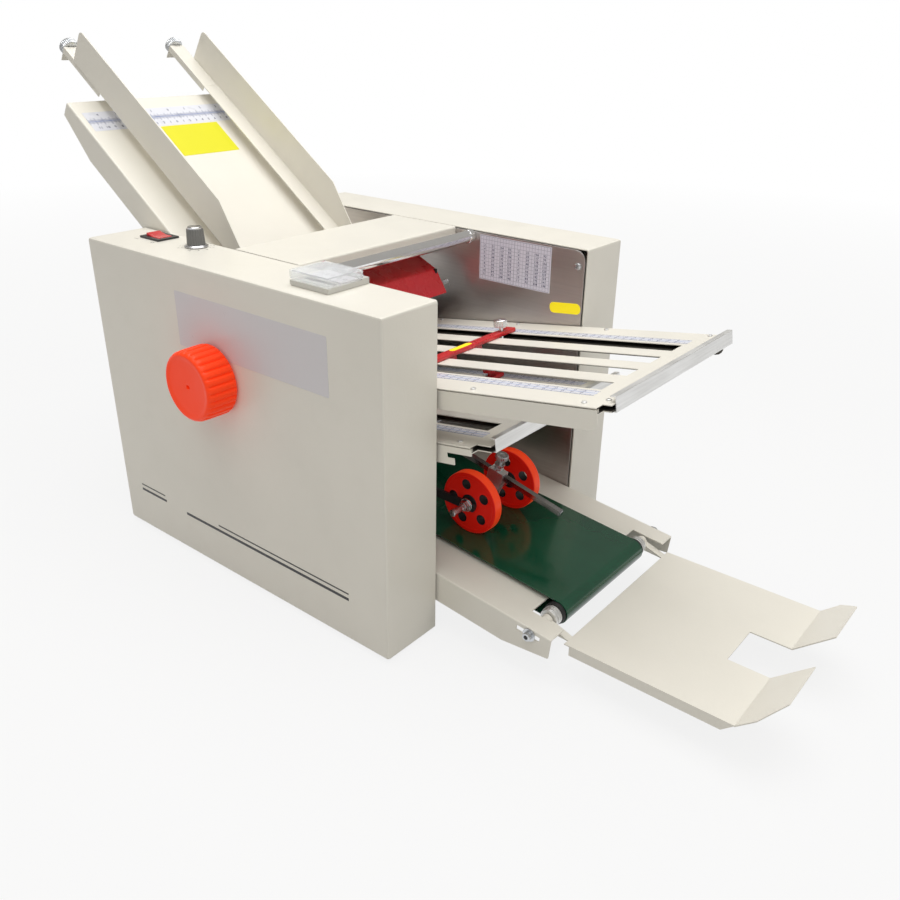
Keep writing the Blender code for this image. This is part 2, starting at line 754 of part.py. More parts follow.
def paper_guides():
    """Left and right guide with the channel arm and the knurled wheel at its upper end."""
    inner = GUIDE_FACE - GUIDE_STRIP
    top = GUIDE_FLOAT + GUIDE_HEIGHT
    corners = [(-GUIDE_UP, GUIDE_FLOAT), (GUIDE_DOWN, GUIDE_FLOAT),
               (GUIDE_DOWN, GUIDE_FLOAT + GUIDE_NOSE_HEIGHT), (GUIDE_DOWN - GUIDE_NOSE, top),
               (-GUIDE_UP, top)]
    outline = rounded(corners, [0, 0, 0, 0, GUIDE_TIP_RADIUS])
    arm_inner = inner + GAP
    arm_outer = GUIDE_FACE - GUIDE_SHEET - GAP
    floor = GUIDE_FLOAT + GUIDE_SHEET - ARM_WALL
    axis_z = GUIDE_FLOAT - (ARM_WALL - GUIDE_SHEET) / 2
    middle = (arm_inner + arm_outer) / 2
    for side, name in ((1, "right"), (-1, "left")):
        guide = fuse(
            sheet(outline, GUIDE_FACE - GUIDE_SHEET, GUIDE_FACE),
            block((-ARM_START, inner, GUIDE_FLOAT),
                  (GUIDE_DOWN, GUIDE_FACE - GUIDE_SHEET / 2, GUIDE_FLOAT + GUIDE_SHEET)),
            block((RAIL_ALONG - GUIDE_FOOT / 2, inner, RAIL_HEIGHT - RAIL_RADIUS - GUIDE_SHEET),
                  (RAIL_ALONG + GUIDE_FOOT / 2, GUIDE_FACE - GUIDE_SHEET / 2,
                   GUIDE_FLOAT + GUIDE_SHEET / 2)))
        guide = cut(guide, rod(RAIL_RADIUS + GAP, (RAIL_ALONG, inner - CUT_OVERRUN, RAIL_HEIGHT),
                               (RAIL_ALONG, GUIDE_FACE + CUT_OVERRUN, RAIL_HEIGHT), SMALL_STEPS))
        arm = block((-ARM_END, arm_inner, floor), (-ARM_START - GAP, arm_outer,
                                                   GUIDE_FLOAT + GUIDE_SHEET))
        arm = cut(arm, block((-ARM_END + GUIDE_SHEET, arm_inner + GUIDE_SHEET, floor - CUT_OVERRUN),
                             (-ARM_START + CUT_OVERRUN, arm_outer - GUIDE_SHEET, GUIDE_FLOAT)))
        tab = block((-ARM_END, arm_inner, floor + GUIDE_SHEET - ARM_TAB),
                    (-ARM_END + GUIDE_SHEET, arm_outer, floor + GUIDE_SHEET))
        hole = rod(WHEEL_SCREW_STEM + GAP, (-ARM_END - CUT_OVERRUN, middle, axis_z),
                   (-ARM_END + GUIDE_SHEET + CUT_OVERRUN, middle, axis_z), SMALL_STEPS)
        arm = cut(fuse(arm, tab), hole)
        wheel = flat(fluted_outline(WHEEL_SCREW_RADIUS, DIAL_FLUTES, DIAL_FLUTE_DEPTH),
                     -WHEEL_SCREW_WIDTH - GAP, -GAP)
        wheel = fuse(wheel, rod(WHEEL_SCREW_STEM, (0, 0, -WHEEL_SCREW_WIDTH / 2),
                                (0, 0, ARM_TAB), SMALL_STEPS))
        wheel.data.transform(Matrix.Rotation(math.pi / 2, 4, "Y"))
        if side < 0:
            flipped = mirrored(guide), mirrored(arm)
            bpy.data.objects.remove(guide, do_unlink=True)
            bpy.data.objects.remove(arm, do_unlink=True)
            guide, arm = flipped
        keep(guide, f"{name}_paper_guide", COAT, HOPPER)
        keep(arm, f"{name}_guide_arm", COAT, HOPPER)
        keep(wheel, f"{name}_guide_wheel", ZINC, HOPPER, (-ARM_END, side * middle, axis_z))


def feed():
    """Feed roller on its geared shaft, and the separator pad that hangs from the rail."""
    profile = [(ROLLER_SHAFT_END, 0), (ROLLER_SHAFT_END, SHAFT_RADIUS), (FEED_HALF, SHAFT_RADIUS),
               (FEED_HALF, FEED_RADIUS), (-FEED_HALF, FEED_RADIUS), (-FEED_HALF, SHAFT_RADIUS),
               (-GEAR_END, SHAFT_RADIUS), (-GEAR_END, 0)]
    pitch_one = 2 * math.pi / GEAR_TEETH
    offset = (PATH_SLOPE - math.pi / 2 - FEED_ANGLE) / pitch_one
    phase = (FEED_ANGLE + math.pi) / (2 * math.pi / FEED_TEETH) - offset + 0.5
    radius = GEAR_PITCH_RADIUS * FEED_TEETH / GEAR_TEETH
    gear = sheet(gear_outline(FEED_TEETH, radius, phase), -GEAR_Y - GEAR_WIDTH, -GEAR_Y)
    keep(fuse(turned(profile), gear), "feed_roller", RUBBER, place=(FEED_X, 0, FEED_Z))

    lean = HOPPER_ANGLE
    across = (FEED_X - HOPPER_X) * math.cos(lean) - (FEED_Z - COVER_TOP) * math.sin(lean)
    height = (FEED_X - HOPPER_X) * math.sin(lean) + (FEED_Z - COVER_TOP) * math.cos(lean)
    low = height + FEED_RADIUS + RUN_GAP
    top = low + PAD_THICKNESS
    pad = block((across - PAD_LENGTH / 2, -PAD_WIDTH / 2, low),
                (across + PAD_LENGTH / 2, PAD_WIDTH / 2, top))
    arm = block((RAIL_ALONG, -PAD_WIDTH / 4, top - PAD_ARM / 2),
                (across, PAD_WIDTH / 4, top + PAD_ARM / 2))
    boss = rod(RAIL_RADIUS + PAD_ARM, (RAIL_ALONG, -PAD_WIDTH / 3, RAIL_HEIGHT),
               (RAIL_ALONG, PAD_WIDTH / 3, RAIL_HEIGHT), SMALL_STEPS)
    bore = rod(RAIL_RADIUS + GAP, (RAIL_ALONG, -PAD_WIDTH, RAIL_HEIGHT),
               (RAIL_ALONG, PAD_WIDTH, RAIL_HEIGHT), SMALL_STEPS)
    keep(cut(fuse(pad, arm, boss), bore), "separator_pad", RUBBER, HOPPER)


def fold_rollers():
    """The stack of fold rollers, each with its gear; the fifth and sixth carry pulleys."""
    toward = (PATH_SLOPE - math.pi / 2) / (2 * math.pi / GEAR_TEETH)
    for number in range(1, ROLLER_COUNT + 1):
        left = GEAR_END
        right = ROLLER_SHAFT_END
        if number == 1:
            left = COVER_OUTER + KNOB_DEPTH - KNOB_DISH
        if number == PULLEY_ROLLER:
            left = SHAFT_END
        if number == ROLLER_COUNT:
            right = GEAR_END
        profile = [(right, 0), (right, SHAFT_RADIUS), (ROLLER_HALF, SHAFT_RADIUS),
                   (ROLLER_HALF, ROLLER_RADIUS), (-ROLLER_HALF, ROLLER_RADIUS),
                   (-ROLLER_HALF, SHAFT_RADIUS), (-left, SHAFT_RADIUS), (-left, 0)]
        phase = toward + (0.5 if number % 2 == 0 else 0.0)
        gear = sheet(gear_outline(GEAR_TEETH, GEAR_PITCH_RADIUS, phase), -GEAR_Y - GEAR_WIDTH,
                     -GEAR_Y)
        roller = fuse(turned(profile), gear)
        if number == PULLEY_ROLLER:
            roller = fuse(roller, rod(PULLEY_RADIUS, (0, -PULLEY_Y - PULLEY_WIDTH, 0),
                                      (0, -PULLEY_Y, 0)))
        if number == ROLLER_COUNT:
            roller = fuse(roller, rod(SMALL_PULLEY_RADIUS, (0, GEAR_Y, 0),
                                      (0, GEAR_Y + GEAR_WIDTH, 0)))
        x, z = roller_place(number)
        keep(roller, f"fold_roller_{number}", RUBBER, place=(x, 0, z))


def hand_knob():
    """The fluted hand knob on the end of the first roller's shaft."""
    near = -COVER_OUTER - KNOB_DEPTH - CUT_OVERRUN
    far = -COVER_OUTER - CUT_OVERRUN
    knob = sheet(fluted_outline(KNOB_RADIUS, KNOB_FLUTES, KNOB_FLUTE_DEPTH), near, far,
                 [circle(0, 0, SHAFT_RADIUS + GAP, SMALL_STEPS)])
    dish = rod(KNOB_DISH_RADIUS, (0, near - CUT_OVERRUN, 0), (0, near + KNOB_DISH, 0))
    keep(cut(knob, dish), "hand_knob", ORANGE, place=(KNOB_X, 0, KNOB_Z))


def red_guard():
    """The bent finger guard in front of the rollers, with its cheeks and hinge rod."""
    path = [(0, 0), (GUARD_EDGE_X - GUARD_TOP_X, GUARD_EDGE_Z - GUARD_TOP_Z),
            (GUARD_LOW_X - GUARD_TOP_X, GUARD_LOW_Z - GUARD_TOP_Z)]
    guard = sheet(bent(path, GUARD_SHEET), -GUARD_HALF, GUARD_HALF)
    skin = GUARD_SHEET / 2
    cheek = [(0, -skin), (path[1][0] - skin, path[1][1] - skin),
             (path[2][0] - skin, path[2][1] + skin), (0, -GUARD_EYE)]
    near, far = GUARD_HALF - GUARD_BRACKET, GUARD_HALF + skin
    guard = fuse(guard, sheet(cheek, -far, -near), sheet(cheek, near, far),
                 rod(GUARD_PIN, (0, -FRAME_INNER + GAP, 0), (0, FRAME_INNER - GAP, 0)))
    keep(guard, "red_guard", RED, place=(GUARD_TOP_X, 0, GUARD_TOP_Z))


def loop(first, first_radius, second, second_radius, grow):
    """A belt line around two pulleys, grown outward from their rims."""
    a, b = Vector(first), Vector(second)
    run = b - a
    lean = math.atan2(run.y, run.x)
    spread = math.acos((first_radius - second_radius) / run.length)
    points = []
    for centre, radius, start, sweep in (
            (b, second_radius, lean - spread, 2 * spread),
            (a, first_radius, lean + spread, 2 * (math.pi - spread))):
        for n in range(ROUND_STEPS + 1):
            angle = start + sweep * n / ROUND_STEPS
            points.append((centre.x + (radius + grow) * math.cos(angle),
                           centre.y + (radius + grow) * math.sin(angle)))
    return points


def drive():
    """Motor on the left plate, its pulley, and the two drive belts."""
    face = -FRAME_INNER + GAP
    gearbox = face + MOTOR_LENGTH * GEARBOX_SHARE
    profile = [(face + MOTOR_LENGTH, 0), (face + MOTOR_LENGTH, MOTOR_RADIUS),
               (gearbox, MOTOR_RADIUS), (gearbox, GEARBOX_RADIUS), (face, GEARBOX_RADIUS),
               (face, 0)]
    keep(turned(profile), "drive_motor", CAST, place=(MOTOR_X, 0, MOTOR_Z))
    start = -FRAME_INNER
    profile = [(start, 0), (start, MOTOR_SHAFT), (-PULLEY_Y, MOTOR_SHAFT),
               (-PULLEY_Y, MOTOR_PULLEY_RADIUS), (-PULLEY_Y - PULLEY_WIDTH, MOTOR_PULLEY_RADIUS),
               (-PULLEY_Y - PULLEY_WIDTH, 0)]
    keep(turned(profile), "motor_pulley", STEEL, place=(MOTOR_X, 0, MOTOR_Z))
    motor = (MOTOR_X, MOTOR_Z)
    driven = roller_place(PULLEY_ROLLER)
    last = roller_place(ROLLER_COUNT)
    tail = (TAIL_X, TAIL_Z)
    big = SMALL_PULLEY_RADIUS / DRIVE_SHARE
    for name, ends, low, wide in (
            ("motor_belt", (motor, MOTOR_PULLEY_RADIUS, driven, PULLEY_RADIUS),
             -PULLEY_Y - PULLEY_WIDTH, PULLEY_WIDTH),
            ("delivery_drive_belt", (last, SMALL_PULLEY_RADIUS, tail, big), GEAR_Y, GEAR_WIDTH)):
        belt = sheet(loop(*ends, GAP + BELT_SHEET), low + RUN_GAP, low + wide - RUN_GAP,
                     [loop(*ends, GAP)])
        keep(belt, name, RUBBER)


def conveyor():
    """Folded conveyor frame, belt, both rollers and the end bolts."""
    tail = -BELT_LENGTH
    half = CONVEYOR_HALF
    back = tail - CONVEYOR_TAIL
    bottom = RAIL_TOP - RAIL_DEPTH
    path = [(-half, bottom), (-half, RAIL_TOP), (half, RAIL_TOP), (half, bottom)]
    frame = sheet(bent(path, CONVEYOR_SHEET), back, RAIL_END)
    frame.data.transform(Matrix.Rotation(-math.pi / 2, 4, "Z"))
    under, over = bottom - CUT_OVERRUN, RAIL_TOP + CUT_OVERRUN
    wide = half + CUT_OVERRUN
    rise = (RAIL_DEPTH - RAIL_END_DEPTH) / (RAIL_END + RAIL_TAPER)
    more = CUT_OVERRUN * rise
    taper = [(-RAIL_TAPER - CUT_OVERRUN, bottom - more), (-RAIL_TAPER - CUT_OVERRUN, under - more),
             (RAIL_END + CUT_OVERRUN, under - more),
             (RAIL_END + CUT_OVERRUN, RAIL_TOP - RAIL_END_DEPTH + more)]
    frame = cut(frame, sheet(taper, -wide, wide),
                block((-NOTCH_BACK, -NOTCH_OUTER, under), (RAIL_END + CUT_OVERRUN, NOTCH_OUTER,
                                                           over)),
                block((back - CUT_OVERRUN, -NOTCH_OUTER, under), (tail + NOTCH_BACK, NOTCH_OUTER,
                                                                  over)),
                block((-SLOT_BACK, -wide, -SLOT_HALF), (SLOT_FRONT, wide, SLOT_HALF)),
                rod(SHAFT_RADIUS + RUN_GAP, (tail, -wide, 0), (tail, wide, 0), SMALL_STEPS))
    keep(frame, "conveyor_frame", COAT, CONVEYOR)

    ends = ((tail, 0), END_ROLLER_RADIUS, (0, 0), END_ROLLER_RADIUS)
    belt = sheet(loop(*ends, GAP + BELT_THICKNESS), -BELT_HALF, BELT_HALF, [loop(*ends, GAP)])
    keep(belt, "delivery_belt", GREEN, CONVEYOR)

    collar = END_ROLLER_HALF + END_COLLAR_WIDTH
    profile = [(collar, AXLE_RADIUS + GAP), (collar, END_COLLAR_RADIUS),
               (END_ROLLER_HALF, END_COLLAR_RADIUS), (END_ROLLER_HALF, END_ROLLER_RADIUS)]
    profile += [(-along, radius) for along, radius in reversed(profile)]
    keep(turned(profile, hollow=True), "end_roller", RUBBER, CONVEYOR)

    profile = [(GEAR_END, 0), (GEAR_END, SHAFT_RADIUS), (END_ROLLER_HALF, SHAFT_RADIUS),
               (END_ROLLER_HALF, END_ROLLER_RADIUS), (-END_ROLLER_HALF, END_ROLLER_RADIUS),
               (-END_ROLLER_HALF, SHAFT_RADIUS), (-ROLLER_SHAFT_END, SHAFT_RADIUS),
               (-ROLLER_SHAFT_END, 0)]
    pulley = rod(SMALL_PULLEY_RADIUS / DRIVE_SHARE, (0, GEAR_Y, 0), (0, GEAR_Y + GEAR_WIDTH, 0))
    keep(fuse(turned(profile), pulley), "drive_roller", RUBBER, CONVEYOR, (tail, 0, 0))

    seat = half + GAP
    axle = rod(AXLE_RADIUS, (0, -seat - BOLT_WASHER / 2, 0), (0, seat + BOLT_WASHER / 2, 0),
               SMALL_STEPS)
    for side in (-1, 1):
        washer = rod(WASHER_RADIUS, (0, side * seat, 0), (0, side * (seat + BOLT_WASHER), 0))
        head = rod(BOLT_RADIUS, (0, side * (seat + BOLT_WASHER / 2), 0),
                   (0, side * (seat + BOLT_HEAD), 0), 6)
        axle = fuse(axle, washer, head)
    keep(axle, "end_roller_axle", ZINC, CONVEYOR)


def output_tray():
    """The hooked sheet tray with side lips, raised end lips and a finger notch."""
    start, bend = TRAY_START - END_ROLLER_X, TRAY_BEND - END_ROLLER_X
    tip_x, tip_z = TRAY_TIP_X - END_ROLLER_X, TRAY_TIP_Z - END_ROLLER_Z
    level = TRAY_LEVEL - END_ROLLER_Z
    tray = sheet(bent([(start, level), (bend, level), (tip_x, tip_z)], TRAY_SHEET),
                 -TRAY_HALF, TRAY_HALF)
    lip = [(start + TRAY_LIP_INSET, level - TRAY_SHEET / 2),
           (start + TRAY_LIP_INSET, level - TRAY_LIP), (bend - TRAY_LIP, level - TRAY_LIP),
           (bend, level - TRAY_SHEET / 2)]
    eye = circle(0, 0, TRAY_EYE_RADIUS)
    arm = [(0, -TRAY_EYE_RADIUS + TRAY_SHEET / 2), (start, level - TRAY_SHEET),
           (start + TRAY_LIP_INSET, level - TRAY_SHEET), (start + TRAY_LIP_INSET, level),
           (start, level), (0, TRAY_EYE_RADIUS / 2)]
    pieces = []
    for side in (-1, 1):
        outer, inner = side * TRAY_HALF, side * (TRAY_HALF - TRAY_SHEET)
        pieces.append(sheet(lip, min(outer, inner), max(outer, inner)))
        low, high = sorted((side * TRAY_EAR_INNER, side * TRAY_EAR_OUTER))
        pieces.append(sheet(eye, low, high))
        pieces.append(sheet(arm, low, high))
    tray = fuse(tray, *pieces)
    notch = TRAY_NOTCH_START - END_ROLLER_X
    bore = rod(AXLE_RADIUS + GAP, (0, -TRAY_HALF, 0), (0, TRAY_HALF, 0), SMALL_STEPS)
    window = block((notch, -TRAY_NOTCH_HALF, level - TRAY_LIP),
                   (tip_x + TRAY_LIP, TRAY_NOTCH_HALF, tip_z + TRAY_LIP))
    tray = cut(tray, bore, window)
    for side in (-1, 1):
        corner = [(tip_x - TRAY_TIP_CHAMFER, side * (TRAY_HALF + CUT_OVERRUN)),
                  (tip_x + CUT_OVERRUN, side * (TRAY_HALF + CUT_OVERRUN)),
                  (tip_x + CUT_OVERRUN, side * (TRAY_HALF - TRAY_TIP_CHAMFER))]
        tray = cut(tray, flat(corner, level, tip_z + TRAY_LIP))
    keep(tray, "output_tray", COAT, place=(END_ROLLER_X, 0, END_ROLLER_Z))


def press_wheels():
    """The swinging rod, its clamped carriage and the two wheels that rest on the belt."""
    bar = fuse(rod(CROSS_SHAFT_RADIUS, (0, PRESS_ASIDE - FRAME_OUTER, 0),
                   (0, PRESS_ASIDE + FRAME_OUTER, 0)),
               rod(ROD_BOSS, (0, -ROD_WIDTH, 0), (0, ROD_WIDTH, 0)),
               block((0, -ROD_WIDTH / 2, -ROD_HEIGHT / 2),
                     (ROD_LENGTH, ROD_WIDTH / 2, ROD_HEIGHT / 2)))
    keep(bar, "press_rod", CHROME, PRESS)

    centre_x = ROD_PIVOT_X + WHEEL_ALONG * math.cos(ROD_SLOPE)
    centre_z = ROD_PIVOT_Z - WHEEL_ALONG * math.sin(ROD_SLOPE)
    above = ((centre_x - END_ROLLER_X) * math.sin(BELT_SLOPE)
             + (centre_z - END_ROLLER_Z) * math.cos(BELT_SLOPE))
    drop = (above - BELT_TOP - WHEEL_RADIUS - GAP) / math.cos(ROD_SLOPE - BELT_SLOPE)

    wall = ROD_WIDTH / 2 + GAP
    top = ROD_HEIGHT / 2 + GAP
    long = BRACKET_LENGTH / 2
    side = [(-long, top + BRACKET_WALL), (-long, -ROD_HEIGHT), (-long / 2, -drop - long),
            (long / 2, -drop - long), (long, -ROD_HEIGHT), (long, top + BRACKET_WALL)]
    hole = [circle(0, -drop, AXLE_ROD_RADIUS + GAP, SMALL_STEPS)]
    bracket = fuse(sheet(side, wall, wall + BRACKET_WALL, hole),
                   sheet(side, -wall - BRACKET_WALL, -wall, hole),
                   block((GAP - long, -wall - BRACKET_WALL / 2, top),
                         (long - GAP, wall + BRACKET_WALL / 2, top + BRACKET_WALL - GAP)))
    bracket = cut(bracket, rod(CLAMP_STEM + GAP, (0, 0, 0), (0, 0, BRACKET_TOP * 2), SMALL_STEPS))
    finger_near = -WHEEL_NEAR - RUN_GAP - FINGER_SHEET
    tip = FINGER_WIDTH / 2
    corners = [(-FINGER_LENGTH, -FINGER_DIP - tip), (-FINGER_LENGTH, tip - FINGER_DIP), (2 * tip, tip),
               (2 * tip, -tip)]
    finger = sheet(rounded(corners, [tip / 2] * 4), finger_near, finger_near + FINGER_SHEET)
    keep(bracket, "press_bracket", STEEL, PRESS, (WHEEL_ALONG, 0, 0))

    near_nut = finger_near - GAP - AXLE_NUT_WIDTH
    far_nut = WHEEL_FAR + RUN_GAP + AXLE_NUT_WIDTH
    axle = fuse(rod(AXLE_ROD_RADIUS, (0, near_nut - AXLE_STUD, 0), (0, far_nut - CUT_OVERRUN, 0),
                    SMALL_STEPS),
                finger,
                rod(AXLE_NUT_RADIUS, (0, near_nut, 0), (0, near_nut + AXLE_NUT_WIDTH, 0), 6),
                rod(AXLE_NUT_RADIUS, (0, far_nut - AXLE_NUT_WIDTH, 0), (0, far_nut, 0), 6))
    keep(axle, "press_axle", STEEL, PRESS, (WHEEL_ALONG, 0, -drop))

    for name, far in (("near_press_wheel", -WHEEL_NEAR + WHEEL_WIDTH),
                      ("far_press_wheel", WHEEL_FAR)):
        near = far - WHEEL_WIDTH
        rim = WHEEL_RADIUS - WHEEL_RIM
        hub = AXLE_NUT_RADIUS + WHEEL_WEB
        bore = AXLE_ROD_RADIUS + GAP
        profile = [(far, bore), (far, hub), (far - WHEEL_WEB, hub), (far - WHEEL_WEB, rim),
                   (far, rim), (far, WHEEL_RADIUS), (near, WHEEL_RADIUS), (near, rim),
                   (near + WHEEL_WEB, rim), (near + WHEEL_WEB, hub), (near, hub), (near, bore)]
        wheel = turned(profile, WHEEL_STEPS, hollow=True)
        holes = []
        for k in range(WHEEL_HOLES):
            angle = 2 * math.pi * (k + WHEEL_HOLE_TURN_SHARE) / WHEEL_HOLES
            x, z = WHEEL_HOLE_RING * math.cos(angle), WHEEL_HOLE_RING * math.sin(angle)
            holes.append(rod(WHEEL_HOLE_RADIUS, (x, near - CUT_OVERRUN, z),
                             (x, far + CUT_OVERRUN, z), SMALL_STEPS))
        keep(cut(wheel, *holes), name, ORANGE, PRESS, (WHEEL_ALONG, 0, -drop))

    seat = ROD_HEIGHT / 2 + GAP
    head = flat(fluted_outline(CLAMP_HEAD_RADIUS, SMALL_STEPS, DIAL_FLUTE_DEPTH),
                CLAMP_RISE, CLAMP_RISE + CLAMP_HEAD)
    screw = fuse(head, rod(CLAMP_STEM, (0, 0, seat), (0, 0, CLAMP_RISE + CLAMP_HEAD / 2),
                           SMALL_STEPS))
    keep(screw, "press_clamp_screw", ZINC, PRESS, (WHEEL_ALONG, 0, 0))


def slot_cutters(start, end, low, high):
    """Boxes that cut the long slots of a fold tray."""
    boxes = []
    for k in range(SLOT_COUNT):
        far = SLOT_FIRST - k * SLOT_STEP
        boxes.append(block((start, far - SLOT_WIDTH, low), (end, far, high)))
    return boxes


def tray_cutters(length, short):
    """Cutters for the slots of a front tray and for the step in its near front corner."""
    high = TRAY_FACE + CUT_OVERRUN
    step = block((length - short, -FOLD_HALF - CUT_OVERRUN, -high),
                 (length + CUT_OVERRUN, FOLD_CORNER - FOLD_HALF, high))
    return [*slot_cutters(SLOT_INNER, length - SLOT_EDGE, -high, high), step]


def fold_tray(name, frame, length, short, stop_along, side_outline):
    """One front tray: slotted grid, slotted base with side flanges, end channel and stop."""
    half = FOLD_HALF
    base = block((FOLD_START, -half, -TRAY_FACE), (length, half, -TRAY_FACE + FOLD_SHEET))
    base = cut(base, *tray_cutters(length, short))
    base = fuse(base, sheet(side_outline, -half, -half + FOLD_SHEET),
                sheet(side_outline, half - FOLD_SHEET, half))
    keep(base, f"{name}_tray_base", COAT, frame)

    grid = block((FOLD_START, -half, TRAY_FACE - FOLD_SHEET), (length, half, TRAY_FACE))
    low = -TRAY_FACE + FOLD_SHEET + GAP
    lip = half - FOLD_LIP_INSET
    for side in (-1, 1):
        near, far = sorted((side * lip, side * (lip - FOLD_SHEET)))
        grid = fuse(grid, block((FOLD_START, near, low), (length, far,
                                                          TRAY_FACE - FOLD_SHEET / 2)))
    keep(cut(grid, *tray_cutters(length, short)), f"{name}_tray_grid", COAT, frame)

    end = length + GAP + CHANNEL_SHEET
    bottom = CHANNEL_TOP - CHANNEL_HEIGHT
    path = [(end - CHANNEL_DEPTH, CHANNEL_TOP), (end, CHANNEL_TOP), (end, bottom),
            (end - CHANNEL_DEPTH, bottom)]
    keep(sheet(bent(path, CHANNEL_SHEET), -CHANNEL_NEAR, half), f"{name}_tray_channel",
         ALUMINIUM, frame)

    bar_low = TRAY_FACE + GAP
    bar = block((-STOP_WIDTH / 2, -STOP_NEAR, bar_low),
                (STOP_WIDTH / 2, STOP_FAR, bar_low + STOP_HEIGHT))
    for k in range(SLOT_COUNT):
        middle = SLOT_FIRST - k * SLOT_STEP - SLOT_WIDTH / 2
        if k:
            bar = fuse(bar, block((-STOP_TAB / 4, middle - STOP_TAB, -TRAY_FACE),
                                  (STOP_TAB / 4, middle + STOP_TAB, bar_low + STOP_HEIGHT / 2)))
    screw_y = SLOT_FIRST - SLOT_WIDTH / 2
    head_low = bar_low + STOP_HEIGHT + STOP_SCREW_RISE
    head = flat(fluted_outline(STOP_SCREW_RADIUS, SMALL_STEPS, DIAL_FLUTE_DEPTH), head_low,
                head_low + STOP_SCREW_HEAD)
    screw = fuse(head, rod(CLAMP_STEM, (0, 0, -TRAY_FACE), (0, 0, head_low + STOP_SCREW_HEAD / 2),
                           SMALL_STEPS))
    if name == "lower":
        screw.data.transform(Matrix.Translation((0, screw_y, 0)))
        keep(fuse(bar, screw), f"{name}_stop_bar", RED, frame, (stop_along, 0, 0))
    else:
        bore = rod(CLAMP_STEM + GAP, (0, screw_y, 0), (0, screw_y, head_low), SMALL_STEPS)
        keep(cut(bar, bore), f"{name}_stop_bar", RED, frame, (stop_along, 0, 0))
        keep(screw, f"{name}_stop_screw", CHROME, frame, (stop_along, screw_y, 0))


def front_trays():
    """The long upper tray and the short lower tray with its latch step."""
    top = TRAY_FACE - FOLD_SHEET - FOLD_SEAM
    end = UPPER_LENGTH - FOLD_END_SHORT
    corners = [(FOLD_START, top), (FOLD_START, -FOLD_SIDE), (end, -FOLD_SIDE), (end, top)]
    fold_tray("upper", UPPER, UPPER_LENGTH, FOLD_END_SHORT, UPPER_STOP_ALONG,
              rounded(corners, [0, 0, FOLD_SIDE_CORNER, 0]))
    end = LOWER_LENGTH - LATCH_BACK
    step = LOWER_LENGTH - LATCH_STEP
    slot_low = -LATCH_LIP - LATCH_SLOT_HEIGHT
    corners = [(FOLD_START, top), (FOLD_START, -FOLD_SIDE), (step, -FOLD_SIDE), (step, slot_low),
               (step - LATCH_SLOT, slot_low), (step - LATCH_SLOT, -LATCH_LIP),
               (end, -LATCH_LIP), (end, top)]
    fold_tray("lower", LOWER, LOWER_LENGTH, LATCH_BACK, LOWER_STOP_ALONG, corners)


def rear_trays():
    """The rear fold pockets, welded between two side plates."""
    cut_high = TRAY_FACE + CUT_OVERRUN
    pockets = []
    corners = []
    for number in REAR_NIPS:
        path = [(-FOLD_START, -TRAY_FACE), (-REAR_LENGTH, -TRAY_FACE), (-REAR_LENGTH, TRAY_FACE),
                (-FOLD_START, TRAY_FACE)]
        pocket = sheet(bent(path, FOLD_SHEET), -FOLD_HALF, FOLD_HALF)
        pocket = cut(pocket, *slot_cutters(-REAR_LENGTH + SLOT_EDGE, -SLOT_INNER, -cut_high,
                                           cut_high))
        x, z = nip_place(number)
        lean = Matrix.Translation((x, 0, z)) @ Matrix.Rotation(-PATH_SLOPE, 4, "Y")
        pocket.data.transform(lean)
        pockets.append(pocket)
        way = cut_high if number == REAR_NIPS[0] else -cut_high
        ends = [lean @ Vector((-along, 0, way)) for along in (FOLD_START + GAP, REAR_LENGTH - GAP)]
        corners.append([(end.x, end.z) for end in ends])
    outline = corners[0] + corners[1][::-1]
    seat = FRAME_INNER - GAP
    plates = [sheet(outline, -seat, -seat + REAR_SHEET), sheet(outline, seat - REAR_SHEET, seat)]
    keep(fuse(plates[0], pockets[0], pockets[1], plates[1]), "rear_fold_trays", COAT)


def counter():
    """The sheet counter on the left cover: a base and a clear lid on a pin."""
    base_low = COVER_TOP + GAP
    half_x, half_y = COUNTER_LENGTH / 2, COUNTER_WIDTH / 2
    pin_y = -COUNTER_Y + half_y + COUNTER_WALL
    pin_z = base_low + COUNTER_BASE
    knuckle = COUNTER_PIN + COUNTER_WALL
    base = block((COUNTER_X - half_x, -COUNTER_Y - half_y, base_low),
                 (COUNTER_X + half_x, -COUNTER_Y + half_y - knuckle, pin_z))
    ears = []
    for side in (-1, 1):
        low, high = sorted((side * half_x, side * (half_x - 2 * knuckle)))
        ears.append(block((COUNTER_X + low, -COUNTER_Y + half_y - 2 * knuckle, base_low),
                          (COUNTER_X + high, pin_y + knuckle, pin_z + COUNTER_PIN)))
    pin = rod(COUNTER_PIN, (COUNTER_X - half_x + knuckle, pin_y, pin_z),
              (COUNTER_X + half_x - knuckle, pin_y, pin_z), SMALL_STEPS)
    keep(fuse(base, *ears, pin), "counter_base", DARK)
    lid_low = GAP + COUNTER_PIN
    near, far = -half_y - (half_y + COUNTER_WALL), -2 * knuckle
    lid = block((-half_x, near, lid_low), (half_x, far, lid_low + COUNTER_LID))
    lid = cut(lid, block((-half_x + COUNTER_WALL, near + COUNTER_WALL, lid_low - CUT_OVERRUN),
                         (half_x - COUNTER_WALL, far - COUNTER_WALL,
                          lid_low + COUNTER_LID - COUNTER_WALL)))
    lug_half = half_x - 2 * knuckle - GAP
    lug = block((-lug_half, far - COUNTER_WALL / 2, RUN_GAP), (lug_half, 0, lid_low + knuckle / 2))
    boss = rod(COUNTER_PIN + COUNTER_WALL, (-lug_half, 0, 0), (lug_half, 0, 0), SMALL_STEPS)
    bore = rod(COUNTER_PIN + GAP, (-half_x, 0, 0), (half_x, 0, 0), SMALL_STEPS)
    keep(cut(fuse(lid, lug, boss), bore), "counter_lid", CLEAR, place=(COUNTER_X, pin_y, pin_z))


